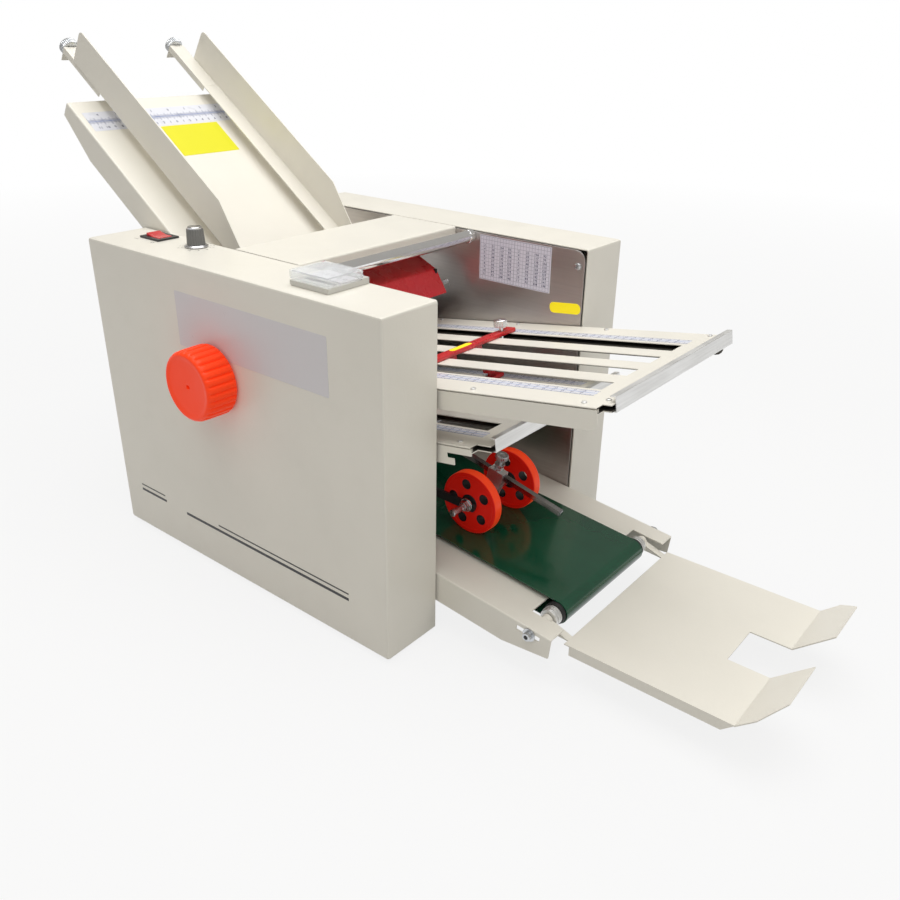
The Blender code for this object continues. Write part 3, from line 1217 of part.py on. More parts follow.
def switch_and_dial():
    """Rocker switch in its bezel, speed dial and power inlet."""
    half_x, half_y = SWITCH_LENGTH / 2, SWITCH_WIDTH / 2
    low = COVER_TOP + GAP
    inset = SWITCH_FLANGE + GAP
    bezel = fuse(block((-half_x, -half_y, 0), (half_x, half_y, SWITCH_FLANGE)),
                 block((-half_x + inset, -half_y + inset, -SWITCH_BODY),
                       (half_x - inset, half_y - inset, SWITCH_FLANGE / 2)))
    well_x, well_y = ROCKER_LENGTH / 2 + RUN_GAP, ROCKER_WIDTH / 2 + RUN_GAP
    bezel = cut(bezel, block((-well_x, -well_y, -ROCKER_DROP * 1.5),
                             (well_x, well_y, SWITCH_FLANGE + CUT_OVERRUN)))
    keep(bezel, "switch_bezel", DARK, place=(SWITCH_X, -SWITCH_Y, low))
    reach = ROCKER_LENGTH / 2 * 0.92
    rise = ROCKER_TIP / 2
    outline = [(-reach, -rise), (reach, -rise), (reach, rise), (0, rise),
               (-reach, rise + reach * math.tan(ROCKER_THROW))]
    keep(sheet(outline, -ROCKER_WIDTH / 2, ROCKER_WIDTH / 2), "rocker_switch", RED,
         place=(SWITCH_X, -SWITCH_Y, low))

    body = fuse(flat(fluted_outline(DIAL_RADIUS, DIAL_FLUTES, DIAL_FLUTE_DEPTH), DIAL_SKIRT / 2,
                     DIAL_HEIGHT),
                flat(circle(0, 0, DIAL_SKIRT_RADIUS), 0, DIAL_SKIRT),
                rod(DIAL_SHAFT, (0, 0, -DIAL_SHAFT_LENGTH), (0, 0, DIAL_SKIRT / 2), SMALL_STEPS))
    keep(body, "speed_dial", DARK, place=(DIAL_X, -DIAL_Y, low))

    half_y, half_z = INLET_WIDTH / 2, INLET_HEIGHT / 2
    wall = INLET_WALL + GAP
    edge = INLET_FLANGE + GAP
    inlet = fuse(block((-INLET_FLANGE - GAP, -half_y, -half_z), (-GAP, half_y, half_z)),
                 block((-INLET_FLANGE / 2 - GAP, -half_y + wall, -half_z + edge),
                       (INLET_DEPTH, half_y - wall, half_z - edge)))
    inlet = cut(inlet, block((-INLET_FLANGE * 2, -half_y + 2 * wall, -half_z + 2 * edge),
                             (INLET_DEPTH - INLET_FLANGE, half_y - 2 * wall, half_z - 2 * edge)))
    for k in (-1, 0, 1):
        y = k * INLET_WALL * 1.6
        inlet = fuse(inlet, block((0, y - INLET_FLANGE / 2, -INLET_FLANGE),
                                  (INLET_DEPTH - INLET_FLANGE / 2, y + INLET_FLANGE / 2,
                                   INLET_FLANGE)))
    keep(inlet, "power_inlet", DARK, place=(0, -INLET_Y, INLET_Z))


def centre_on_box():
    """Move the machine so that the origin is the bottom centre of its bounding box."""
    bpy.context.view_layer.update()
    corners = [obj.matrix_world @ vertex.co for obj in PARTS.objects if obj.type == "MESH"
               for vertex in obj.data.vertices]
    low = [min(corner[k] for corner in corners) for k in range(3)]
    high = [max(corner[k] for corner in corners) for k in range(3)]
    MACHINE.location = (-(low[0] + high[0]) / 2, -(low[1] + high[1]) / 2, -low[2])
    bpy.context.view_layer.update()


side_covers()
frame_plates()
feet_and_top()
hopper()
paper_guides()
feed()
fold_rollers()
hand_knob()
red_guard()
drive()
conveyor()
output_tray()
press_wheels()
front_trays()
rear_trays()
counter()
switch_and_dial()
centre_on_box()
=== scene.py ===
"""Paper folding machine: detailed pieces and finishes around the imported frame."""
import math

import bmesh
import bpy
from mathutils import Matrix, Vector


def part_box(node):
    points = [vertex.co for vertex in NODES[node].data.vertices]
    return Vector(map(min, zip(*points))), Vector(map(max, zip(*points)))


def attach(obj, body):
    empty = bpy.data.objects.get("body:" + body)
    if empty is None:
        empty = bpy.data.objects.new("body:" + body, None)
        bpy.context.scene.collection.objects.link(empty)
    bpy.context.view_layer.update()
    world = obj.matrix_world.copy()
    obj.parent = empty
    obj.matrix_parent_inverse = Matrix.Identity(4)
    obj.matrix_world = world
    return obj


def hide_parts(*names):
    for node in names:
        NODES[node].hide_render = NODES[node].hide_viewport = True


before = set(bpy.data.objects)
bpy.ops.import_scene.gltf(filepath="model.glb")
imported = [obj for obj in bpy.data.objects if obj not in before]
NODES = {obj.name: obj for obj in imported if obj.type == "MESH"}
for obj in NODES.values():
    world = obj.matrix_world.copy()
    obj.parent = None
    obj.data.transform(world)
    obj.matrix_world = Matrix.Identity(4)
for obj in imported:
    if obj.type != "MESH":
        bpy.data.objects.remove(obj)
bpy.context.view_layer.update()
SCENE = bpy.context.scene
BODY = "machine_body"

# Measures, in millimetres and degrees unless a line says metres

MM = 0.001
BASE = Vector((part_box("left_cover")[0].x,
               (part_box("left_cover")[0].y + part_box("right_cover")[1].y) / 2, 0.0))  # metres
COVER_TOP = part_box("left_cover")[1].z  # metres
COVER_SIDE = 204.75
PLATE_SIDE = 128.4
TRAY_START = (218.8, 239.1)
TRAY_LEAN = 9.15
TRAY_APART = 56.2
TRAY_FACE = 3.4
ROD_LEAN = 12.8
PRESS_ASIDE = -5.5
WHEEL_ALONG = 112.6
FOIL = 0.2
INK = 0.25
GROOVED = 35.0
CHART_CORNER = (309.6, 363.6)
CHART_BLOCK = 50.1
CHART_ROW = 4.35


def at(x, y, z=0.0):
    """A move by millimetres."""
    return Matrix.Translation((x * MM, y * MM, z * MM))


def spun(degrees, axis):
    """A turn about one axis."""
    return Matrix.Rotation(math.radians(degrees), 4, axis)


def tilted(x, z, degrees=0.0):
    """A frame in the machine's middle plane, turned about the cross axis."""
    return Matrix.Translation(BASE) @ at(x, 0.0, z) @ spun(degrees, "Y")


def extent(node):
    """A solid's middle in metres and its size in millimetres."""
    low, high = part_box(node)
    return (low + high) / 2, (high - low) / MM


def on_cover(node):
    """A frame on the left cover's top, over a solid's middle."""
    middle = extent(node)[0]
    return Matrix.Translation((middle.x, middle.y, COVER_TOP))


MACHINE = tilted(0.0, 0.0)
HOPPER = tilted(48.0, 368.5, 35.4)
UPPER = tilted(*TRAY_START, -TRAY_LEAN)
LOWER = UPPER @ at(0.0, 0.0, -TRAY_APART)
CONVEYOR = tilted(577.0, 51.8, 6.0)
PRESS = tilted(333.7, 162.9, ROD_LEAN) @ at(0.0, PRESS_ASIDE)
FACING_LEFT = spun(90.0, "X")
FACING_RIGHT = spun(-90.0, "X")


# Finishes


def add(tree, kind, inputs=None, **settings):
    """A shader node with its settings, and its inputs set or linked by name or index."""
    node = tree.nodes.new("ShaderNode" + kind)
    for name, value in settings.items():
        setattr(node, name, value)
    for name, value in (inputs or {}).items():
        if isinstance(value, bpy.types.NodeSocket):
            tree.links.new(value, node.inputs[name])
        else:
            node.inputs[name].default_value = value
    return node


def linked(tree, sockets, **sources):
    """Links values to sockets, which are named with underscores for spaces."""
    for label, source in sources.items():
        tree.links.new(source, sockets[label.replace("_", " ")])


def maths(tree, operation, first, second=0.0):
    """The value of one math node."""
    return add(tree, "Math", {0: first, 1: second}, operation=operation).outputs[0]


def mixed(tree, share, first, second):
    """The colour of one mix node."""
    return add(tree, "Mix", {0: share, 6: first, 7: second}, data_type="RGBA").outputs[2]


def ranged(tree, value, low, high, to_low, to_high):
    """The value of one map range node."""
    return add(tree, "MapRange", {"Value": value, "From Min": low, "From Max": high,
                                  "To Min": to_low, "To Max": to_high}).outputs[0]


def stretched(tree, vector, factors):
    """A vector times another."""
    return add(tree, "VectorMath", {0: vector, 1: factors}, operation="MULTIPLY").outputs[0]


def noise(tree, vector, scale, detail=2.0, roughness=0.5):
    """The value of one noise texture."""
    return add(tree, "TexNoise", {"Vector": vector, "Scale": scale, "Detail": detail,
                                  "Roughness": roughness}).outputs["Fac"]


KINDS = {"Vector": "Vector", "Streak": "Vector", "Colour": "Color"}
TICK = ("Along", "Edge", "Step", "Length", "Width")


def group(name, inputs, outputs):
    """An empty shader group with its input and output sockets."""
    tree = bpy.data.node_groups.new(name, "ShaderNodeTree")
    for way, labels in (("INPUT", inputs), ("OUTPUT", outputs)):
        for label in labels:
            tree.interface.new_socket(name=label, in_out=way,
                                      socket_type="NodeSocket" + KINDS.get(label, "Float"))
    return (tree, tree.nodes.new("NodeGroupInput").outputs,
            tree.nodes.new("NodeGroupOutput").inputs)


def skin_group():
    """Sprayed or moulded skin: slow colour drift, handling marks and fine peel."""
    tree, give, take = group("sprayed_skin", ("Vector", "Colour", "Grain", "Drift", "Rough"),
                             ("Colour", "Roughness", "Height"))
    slow = noise(tree, give["Vector"], 7.0, 3.0)
    marks = noise(tree, give["Vector"], 38.0, 5.0, 0.62)
    peel = noise(tree, give["Vector"], give["Grain"])
    share = maths(tree, "MULTIPLY", ranged(tree, slow, 0.3, 0.7, 0.0, 1.0), give["Drift"])
    darker = mixed(tree, share, give["Colour"], (0.0, 0.0, 0.0, 1.0))
    speck = maths(tree, "MULTIPLY", ranged(tree, marks, 0.55, 0.8, 0.0, 0.5), give["Drift"])
    spread = ranged(tree, marks, 0.3, 0.7, -0.07, 0.08)
    linked(tree, take, Colour=mixed(tree, speck, darker, (0.30, 0.27, 0.22, 1.0)),
           Roughness=maths(tree, "ADD", give["Rough"], spread), Height=peel)
    return tree


def metal_group():
    """Drawn or brushed metal: streaks along one way, smears and fine scratches."""
    tree, give, take = group("drawn_metal", ("Vector", "Streak", "Colour", "Rough", "Depth"),
                             ("Colour", "Roughness", "Height"))
    streak = noise(tree, stretched(tree, give["Vector"], give["Streak"]), 1.0, 3.0, 0.6)
    smear = noise(tree, give["Vector"], 22.0, 4.0, 0.55)
    dull = maths(tree, "MULTIPLY", ranged(tree, streak, 0.25, 0.75, 0.0, 0.35), give["Depth"])
    spread = maths(tree, "ADD", ranged(tree, streak, 0.3, 0.7, -0.06, 0.08),
                   ranged(tree, smear, 0.35, 0.7, -0.05, 0.09))
    linked(tree, take, Colour=mixed(tree, dull, give["Colour"], (0.30, 0.30, 0.31, 1.0)),
           Roughness=maths(tree, "ADD", give["Rough"], spread),
           Height=maths(tree, "MULTIPLY", streak, give["Depth"]))
    return tree


def tick_group():
    """Lines at equal steps along a strip, as long as told from its edges."""
    tree, give, take = group("ruler_ticks", TICK, ("Mask",))
    place = maths(tree, "DIVIDE", give["Along"], give["Step"])
    off = maths(tree, "ABSOLUTE", maths(tree, "SUBTRACT", place, maths(tree, "ROUND", place)))
    near = maths(tree, "LESS_THAN", maths(tree, "MULTIPLY", off, give["Step"]), give["Width"])
    reach = maths(tree, "LESS_THAN", give["Edge"], give["Length"])
    linked(tree, take, Mask=maths(tree, "MULTIPLY", near, reach))
    return tree


SKIN = skin_group()
METAL = metal_group()
TICKS = tick_group()


def blank(name, **shader):
    """A material with its tree, its Principled shader and the object coordinates."""
    made = bpy.data.materials.new(name)
    made.use_nodes = True
    tree = made.node_tree
    surface = tree.nodes["Principled BSDF"]
    for label, value in shader.items():
        surface.inputs[label.replace("_", " ")].default_value = value
    return made, tree, surface.inputs, add(tree, "TexCoord").outputs["Object"]


def bumped(tree, height, strength, distance):
    """The normal of one bump node."""
    return add(tree, "Bump", {"Height": height, "Strength": strength,
                              "Distance": distance}).outputs[0]


def finished(name, core, values, strength, distance, shader):
    """A finish with its colour, roughness and height from a shared group."""
    made, tree, surface, place = blank(name, **shader)
    inner = add(tree, "Group", {"Vector": place, **values}, node_tree=core).outputs
    linked(tree, surface, Base_Color=inner["Colour"], Roughness=inner["Roughness"],
           Normal=bumped(tree, inner["Height"], strength, distance))
    return made


def sprayed(name, colour, rough, grain, drift, strength, **shader):
    """A painted or moulded finish."""
    values = {"Colour": (*colour, 1.0), "Grain": grain, "Drift": drift, "Rough": rough}
    return finished(name, SKIN, values, strength, 0.0004, shader)


def drawn(name, colour, rough, streak, depth=1.0, strength=0.2):
    """A bare metal finish with its streaks along one way."""
    values = {"Colour": (*colour, 1.0), "Streak": streak, "Rough": rough, "Depth": depth}
    return finished(name, METAL, values, strength, 0.0002, {"Metallic": 1.0})


def glow(colour, strength):
    """The inputs of a faint painted glow: emission that stands in for light falling on a part that
    is no lamp.
    """
    return {"Emission_Color": (*colour, 1.0), "Emission_Strength": strength}


def foil(name, **shader):
    """A glossy foil's material, with its flat coordinates in millimetres."""
    made, tree, surface, place = blank(name, Coat_Weight=0.2, **shader)
    split = add(tree, "SeparateXYZ", {0: add(tree, "UVMap", uv_map="ruler").outputs[0]})
    return made, tree, surface, place, split.outputs[0], split.outputs[1]


def inked(tree, rows):
    """The mask of several sets of ticks."""
    masks = [add(tree, "Group", dict(zip(TICK, row)), node_tree=TICKS).outputs[0] for row in rows]
    ink = masks[0]
    for mask in masks[1:]:
        ink = maths(tree, "MAXIMUM", ink, mask)
    return ink


def ruler_print(name, half, longest, from_middle=False):
    """Pale ruler foil: millimetre ticks along its edges or its blue middle line."""
    made, tree, surface, place, along, across = foil(name)
    aside = maths(tree, "ABSOLUTE", across)
    edge = aside if from_middle else maths(tree, "SUBTRACT", half, aside)
    ink = inked(tree, [(along, edge, step, share * longest, width) for step, share, width
                       in ((1.0, 0.55, 0.20), (5.0, 0.75, 0.26), (10.0, 1.0, 0.38))])
    middle = maths(tree, "LESS_THAN", aside, 0.40)
    worn = ranged(tree, noise(tree, place, 90.0, 3.0), 0.35, 0.7, 0.92, 0.72)
    paper = mixed(tree, noise(tree, place, 12.0), (0.70, 0.71, 0.78, 1.0), (0.78, 0.79, 0.84, 1.0))
    ruled_once = mixed(tree, maths(tree, "MULTIPLY", middle, worn), paper, (0.12, 0.24, 0.62, 1.0))
    marked = mixed(tree, maths(tree, "MULTIPLY", ink, worn), ruled_once, (0.02, 0.05, 0.20, 1.0))
    linked(tree, surface, Base_Color=marked,
           Roughness=ranged(tree, noise(tree, place, 60.0), 0.3, 0.7, 0.25, 0.4))
    return made


def chart_print():
    """A pale foil with a painted glow, ruled into a frame, a head row and two blocks of columns,
    with no words.
    """
    # The foil's emission is a painted glow that stands in for light falling on the chart.
    made, tree, surface, place, along, above = foil("chart_print",
                                                    **glow((0.60, 0.58, 0.66), 0.16))
    along = maths(tree, "SUBTRACT", along, CHART_CORNER[0])
    above = maths(tree, "SUBTRACT", CHART_CORNER[1], above)
    ink = inked(tree, [(value, 0.0, step, 1.0, width) for value, step, width
                       in ((along, 4.17, 0.16), (above, CHART_ROW, 0.18),
                           (along, CHART_BLOCK, 0.32), (above, 12 * CHART_ROW, 0.32))])
    for value, half in ((along, CHART_BLOCK), (above, 6 * CHART_ROW)):
        off = maths(tree, "ABSOLUTE", maths(tree, "SUBTRACT", value, half))
        ink = maths(tree, "MULTIPLY", ink, maths(tree, "LESS_THAN", off, half + FOIL))
    paper = mixed(tree, noise(tree, place, 30.0), (0.60, 0.58, 0.66, 1.0), (0.68, 0.66, 0.73, 1.0))
    linked(tree, surface,
           Base_Color=mixed(tree, maths(tree, "MULTIPLY", ink, 0.72), paper,
                            (0.10, 0.09, 0.16, 1.0)),
           Roughness=ranged(tree, noise(tree, place, 60.0), 0.3, 0.7, 0.35, 0.5))
    return made


def belt_cloth():
    """Glossy green belt: fine woven dimples, wiped smears and dull wear along the middle."""
    made, tree, surface, place = blank("belt_cloth", Coat_Weight=0.25)
    smear = noise(tree, place, 9.0, 4.0, 0.6)
    streak = noise(tree, stretched(tree, place, (8.0, 90.0, 8.0)), 1.0, 3.0, 0.6)
    colour = mixed(tree, ranged(tree, smear, 0.3, 0.7, 0.0, 1.0), (0.002, 0.056, 0.026, 1.0),
                   (0.004, 0.080, 0.038, 1.0))
    linked(tree, surface,
           Base_Color=mixed(tree, ranged(tree, streak, 0.6, 0.85, 0.0, 0.12), colour,
                            (0.020, 0.090, 0.050, 1.0)),
           Roughness=maths(tree, "ADD", ranged(tree, smear, 0.3, 0.7, 0.10, 0.18),
                           ranged(tree, streak, 0.4, 0.8, 0.0, 0.04)),
           Normal=bumped(tree, noise(tree, place, 420.0), 0.10, 0.0002))
    return made


def clear_acrylic():
    """Clear moulded lid."""
    made, tree, surface, place = blank("clear_acrylic", Transmission_Weight=0.80, IOR=1.18,
                                       Base_Color=(0.97, 0.98, 0.99, 1.0))
    linked(tree, surface,
           Roughness=ranged(tree, noise(tree, place, 40.0, 3.0), 0.4, 0.8, 0.02, 0.10))
    return made


PAINT = {
    "powder_coat": sprayed("warm_powder_coat", (0.83, 0.80, 0.72), 0.36, 650.0, 0.05, 0.25),
    "steel": drawn("brushed_sheet_steel", (0.62, 0.59, 0.575), 0.40, (6.0, 6.0, 300.0), 0.4, 0.1),
    "turned_steel": drawn("turned_steel", (0.60, 0.60, 0.61), 0.24, (60.0, 900.0, 60.0)),
    "zinc": drawn("zinc_plate", (0.66, 0.68, 0.70), 0.27, (300.0, 300.0, 300.0)),
    "chrome": drawn("polished_chrome", (0.88, 0.88, 0.89), 0.09, (30.0, 90.0, 30.0), 0.15, 0.1),
    "aluminium": drawn("raw_aluminium", (0.88, 0.88, 0.87), 0.46, (160.0, 14.0, 420.0), 0.5, 0.25),
    "dark_chrome": drawn("dull_chrome", (0.36, 0.36, 0.38), 0.15, (30.0, 90.0, 30.0), 0.3, 0.1),
    "rubber": sprayed("ground_rubber", (0.020, 0.020, 0.021), 0.62, 900.0, 0.12, 0.5),
    "black_steel": sprayed("black_oxide", (0.018, 0.018, 0.020), 0.40, 500.0, 0.10, 0.3),
    # The orange knob's paint carries a painted glow: emission that stands in for light falling on
    # it.
    "knob": sprayed("orange_moulding", (1.0, 0.060, 0.010), 0.36, 420.0, 0.04, 0.15,
                    Specular_IOR_Level=0.22, **glow((1.0, 0.055, 0.010), 0.18)),
    # The orange and red-orange wheel paints carry a painted glow: emission that stands in for
    # light falling on them.
    "wheel": sprayed("orange_paint", (1.0, 0.062, 0.010), 0.34, 500.0, 0.05, 0.2,
                     Specular_IOR_Level=0.3, **glow((1.0, 0.060, 0.010), 0.20)),
    "wheel_face": sprayed("red_orange_paint", (0.82, 0.014, 0.006), 0.34, 500.0, 0.06, 0.2,
                          Specular_IOR_Level=0.3, **glow((1.0, 0.010, 0.004), 0.10)),
    "red": sprayed("red_gloss_paint", (0.62, 0.016, 0.022), 0.28, 500.0, 0.08, 0.2,
                   Coat_Weight=0.3),
    "green": belt_cloth(),
    "dark": sprayed("dark_moulding", (0.030, 0.030, 0.032), 0.38, 800.0, 0.10, 0.3),
    "grey": sprayed("grey_moulding", (0.18, 0.18, 0.175), 0.36, 800.0, 0.10, 0.3),
    "pale": sprayed("pale_moulding", (0.62, 0.61, 0.57), 0.40, 800.0, 0.05, 0.2),
    "clear": clear_acrylic(),
    "cast": sprayed("cast_housing", (0.060, 0.064, 0.070), 0.48, 260.0, 0.15, 0.6),
    "nylon": sprayed("white_nylon", (0.70, 0.69, 0.64), 0.42, 500.0, 0.05, 0.2),
    "vinyl": sprayed("white_vinyl", (0.70, 0.68, 0.70), 0.34, 300.0, 0.012, 0.02),
    "yellow": sprayed("yellow_vinyl", (0.76, 0.72, 0.018), 0.40, 300.0, 0.02, 0.03,
                      Specular_IOR_Level=0.25),
    # Bright yellow vinyl with a painted glow: emission that stands in for light falling on the
    # tab.
    "bright_yellow": sprayed("bright_yellow_vinyl_painted_glow", (0.88, 0.74, 0.012), 0.34, 300.0, 0.02, 0.03,
                             **glow((0.90, 0.70, 0.010), 0.40)),
    # Near-black paint that stands in for the shade inside the trays: painted shade.
    "painted_shade": sprayed("painted_shade_dark", (0.060, 0.055, 0.045), 0.55, 300.0, 0.08, 0.2),
    "stripe": sprayed("dark_vinyl", (0.012, 0.012, 0.016), 0.32, 300.0, 0.05, 0.08),
    "figures": sprayed("printed_ink", (0.030, 0.038, 0.13), 0.50, 300.0, 0.05, 0.05),
    "faint": sprayed("grey_ink", (0.22, 0.21, 0.20), 0.50, 300.0, 0.05, 0.05),
    "ruler": ruler_print("hopper_foil", 16.5, 6.0, True),
    "tray_ruler": ruler_print("tray_foil", 6.6, 2.6),
    "chart": chart_print(),
}


# Shaping


def meshed(bm, name):
    """A shape's mesh; the shape itself goes away."""
    mesh = bpy.data.meshes.new(name)
    bm.to_mesh(mesh)
    bm.free()
    return mesh


def shown(name, data):
    """An object in the scene."""
    obj = bpy.data.objects.new(name, data)
    SCENE.collection.objects.link(obj)
    return obj


def merged(*parts):
    """Several shapes as one."""
    whole = bmesh.new()
    for part in parts:
        mesh = meshed(part, "part")
        whole.from_mesh(mesh)
        bpy.data.meshes.remove(mesh)
    return whole


def moved(bm, matrix):
    """A shape put in its place."""
    bm.transform(matrix)
    return bm


def stamped(whole, mesh, matrix):
    """Adds a mesh to a shape, in its place."""
    start = len(whole.verts)
    whole.from_mesh(mesh)
    whole.verts.ensure_lookup_table()
    bmesh.ops.transform(whole, matrix=matrix, verts=whole.verts[start:])


def repeated(bm, matrices):
    """Copies of one shape at several places, as one shape."""
    mesh = meshed(bm, "template")
    whole = bmesh.new()
    for matrix in matrices:
        stamped(whole, mesh, matrix)
    bpy.data.meshes.remove(mesh)
    return whole


def breadth(face):
    """A face's area over its longest edge, in millimetres."""
    return face.calc_area() / MM / max(1e-9, *(edge.calc_length() for edge in face.edges))


def turning(edge):
    """The angle between an edge's two faces, in degrees."""
    return math.degrees(edge.calc_face_angle(0.0)) if len(edge.link_faces) == 2 else 0.0


def running(bm, axis, least):
    """The edges that go further than so many millimetres along an axis."""
    return [edge for edge in bm.edges
            if abs((edge.verts[0].co - edge.verts[1].co)[axis]) > least * MM]


def creased(bm, crease, thin=1.2, broad=6.0):
    """Marks the creases and the edges where a broad flat face meets a narrow strip."""
    bm.faces.index_update()
    wide = [breadth(face) for face in bm.faces]
    for edge in bm.edges:
        sides = sorted(wide[face.index] for face in edge.link_faces)
        strip = len(sides) == 2 and sides[0] < thin and sides[1] > broad
        edge.smooth = not (strip or turning(edge) > crease)


def piece(bm, name, body, paint, matrix=None, node=None, crease=32.0, flat=True):
    """Makes the finished object, which rides on its body and stands for its solid."""
    if matrix is not None:
        bm.transform(matrix)
    creased(bm, crease)
    mesh = meshed(bm, name)
    mesh.polygons.foreach_set("use_smooth", [True] * len(mesh.polygons))
    paints = [paint] if isinstance(paint, str) else paint
    for label in paints:
        mesh.materials.append(PAINT[label])
    obj = shown(name, mesh)
    if flat:
        even = obj.modifiers.new("even", "WEIGHTED_NORMAL")
        even.keep_sharp = True
        even.weight = 60
    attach(obj, body)
    if node:
        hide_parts(node)


def eased(bm, edges, radius, segments):
    """Rounds the edges."""
    if edges:
        bmesh.ops.bevel(bm, geom=edges, offset=radius * MM, offset_type="OFFSET",
                        affect="EDGES", segments=segments, profile=0.5, material=-1,
                        clamp_overlap=True)


def broken(bm, radius):
    """Softly breaks the sharp rims."""
    eased(bm, [edge for edge in bm.edges if turning(edge) > 60.0 and edge.is_convex], radius, 1)
    return bm


def solid(node):
    """A copy of a solid with its doubles merged and its flat faces joined."""
    bm = bmesh.new()
    bm.from_mesh(NODES[node].data)
    bmesh.ops.remove_doubles(bm, verts=bm.verts, dist=2e-5)
    bmesh.ops.dissolve_limit(bm, angle_limit=math.radians(0.6), verts=bm.verts, edges=bm.edges)
    return bm


def folded(node, bend=1.8, inside=0.6, rim=0.3, wide=2.5, least=20.0):
    """A sheet solid with round bends and softly broken rims."""
    bm = solid(node)
    bends = [edge for edge in bm.edges if turning(edge) > least
             and min(breadth(face) for face in edge.link_faces) > wide]
    outer = [edge for edge in bends if edge.is_convex]
    eased(bm, [edge for edge in bends if not edge.is_convex], inside, 2)
    eased(bm, [edge for edge in outer if edge.is_valid], bend, 4)
    return broken(bm, rim)


def sheet(node, name, body=BODY, paint="powder_coat", **bends):
    """A solid's own piece with round bends."""
    piece(folded(node, **bends), name, body, paint, node=node)


def brick(low, high, radius=0.0):
    """A block with rounded edges."""
    bm = bmesh.new()
    bmesh.ops.create_cube(bm, size=1.0)
    low, high = (Vector([part * MM for part in corner]) for corner in (low, high))
    bm.transform(Matrix.Translation((low + high) / 2) @ Matrix.Diagonal((*(high - low), 1.0)))
    if radius:
        eased(bm, list(bm.edges), radius, 2)
    return bm


def tile(low, high, corner=0.0, thickness=FOIL):
    """A thin plate on z = 0 with round corners."""
    bm = brick((*low, 0.0), (*high, thickness))
    if corner:
        eased(bm, running(bm, 2, thickness / 2), corner, 5)
    return bm


def lathe(profile, steps=64, closed=False):
    """A turned shape about Y from (along, radius) points."""
    bm = bmesh.new()
    points = [bm.verts.new((radius * MM, along * MM, 0.0)) for along, radius in profile]
    edges = [bm.edges.new(pair) for pair in zip(points, points[1:])]
    if closed:
        edges.append(bm.edges.new((points[-1], points[0])))
    bmesh.ops.spin(bm, geom=points + edges, cent=(0, 0, 0), axis=(0, 1, 0),
                   angle=2 * math.pi, steps=steps, use_merge=True)
    bmesh.ops.remove_doubles(bm, verts=bm.verts, dist=1e-6)
    bmesh.ops.recalc_face_normals(bm, faces=bm.faces)
    return bm


def upright(profile, steps=24, closed=False):
    """A turned shape about Z."""
    return moved(lathe(profile, steps, closed), FACING_LEFT)


def fluted(rings, flutes, power=1.0, share=8):
    """A grooved barrel about Z; the rings are (height, radius, groove depth)."""
    bm = bmesh.new()
    bmesh.ops.create_circle(bm, segments=flutes * share, radius=1.0)
    rows = [list(bm.verts)]
    edges = list(bm.edges)
    for _ in rings[1:]:
        made = bmesh.ops.extrude_edge_only(bm, edges=edges)["geom"]
        rows.append([item for item in made if isinstance(item, bmesh.types.BMVert)])
        edges = [item for item in made if isinstance(item, bmesh.types.BMEdge)
                 and all(vert in rows[-1] for vert in item.verts)]
    for row, (height, radius, depth) in zip(rows, rings):
        for vert in row:
            angle = math.atan2(vert.co.y, vert.co.x)
            groove = (0.5 + 0.5 * math.cos(flutes * angle)) ** power
            reach = (radius - depth * groove) * MM
            vert.co = (reach * math.cos(angle), reach * math.sin(angle), height * MM)
    bmesh.ops.holes_fill(bm, edges=[edge for edge in bm.edges if edge.is_boundary], sides=0)
    bmesh.ops.recalc_face_normals(bm, faces=bm.faces)
    return bm


def taken(obj):
    """The final shape of a short-lived object, which goes away."""
    bpy.context.view_layer.update()
    graph = bpy.context.evaluated_depsgraph_get()
    mesh = bpy.data.meshes.new_from_object(obj.evaluated_get(graph))
    bm = bmesh.new()
    bm.from_mesh(mesh)
    bpy.data.meshes.remove(mesh)
    bpy.data.objects.remove(obj, do_unlink=True)
    return bm


def carved(bm, cutter):
    """A shape with another cut out of it."""
    host, tool = (shown("temporary", meshed(part, "temporary")) for part in (bm, cutter))
    cut = host.modifiers.new("cut", "BOOLEAN")
    cut.operation = "DIFFERENCE"
    cut.solver = "EXACT"
    cut.object = tool
    made = taken(host)
    bpy.data.objects.remove(tool, do_unlink=True)
    bmesh.ops.remove_doubles(made, verts=made.verts, dist=1e-6)
    return made


def wire(points, radius):
    """A round wire through points."""
    line = bpy.data.curves.new("wire", "CURVE")
    line.dimensions = "3D"
    line.bevel_depth = radius * MM
    line.bevel_resolution = 3
    line.use_fill_caps = True
    spline = line.splines.new("POLY")
    spline.points.add(len(points) - 1)
    for point, place in zip(spline.points, points):
        point.co = (*(part * MM for part in place), 1.0)
    made = taken(shown("wire", line))
    bmesh.ops.recalc_face_normals(made, faces=made.faces)
    return made


def ruled(bm):
    """Gives a flat shape a UV map in millimetres from its own X and Y."""
    flat = bm.loops.layers.uv.new("ruler")
    for face in bm.faces:
        for loop in face.loops:
            loop[flat].uv = (loop.vert.co.x / MM, loop.vert.co.y / MM)
    return bm


def figure_shapes():
    """Meshes of the ten digits, one unit high and centred."""
    made = {}
    for digit in "0123456789":
        text = bpy.data.curves.new("digit", "FONT")
        text.body = digit
        text.size = 1.0
        text.align_x = "CENTER"
        text.resolution_u = 2
        text.offset = 0.02
        made[digit] = meshed(taken(shown("digit", text)), "digit")
    return made


DIGITS = figure_shapes()


def numbers(labels, size, name, body, paint, matrix, lift=INK):
    """A piece of printed numbers; the labels are (number, x, y)."""
    whole = bmesh.new()
    for number, x, y in labels:
        text = str(number)
        for place, digit in enumerate(text):
            aside = (place - (len(text) - 1) / 2) * 0.58 * size
            stamped(whole, DIGITS[digit],
                    at(x + aside, y - 0.35 * size, lift) @ Matrix.Scale(size * MM, 4))
    piece(whole, name, body, paint, matrix, flat=False)


# Small parts


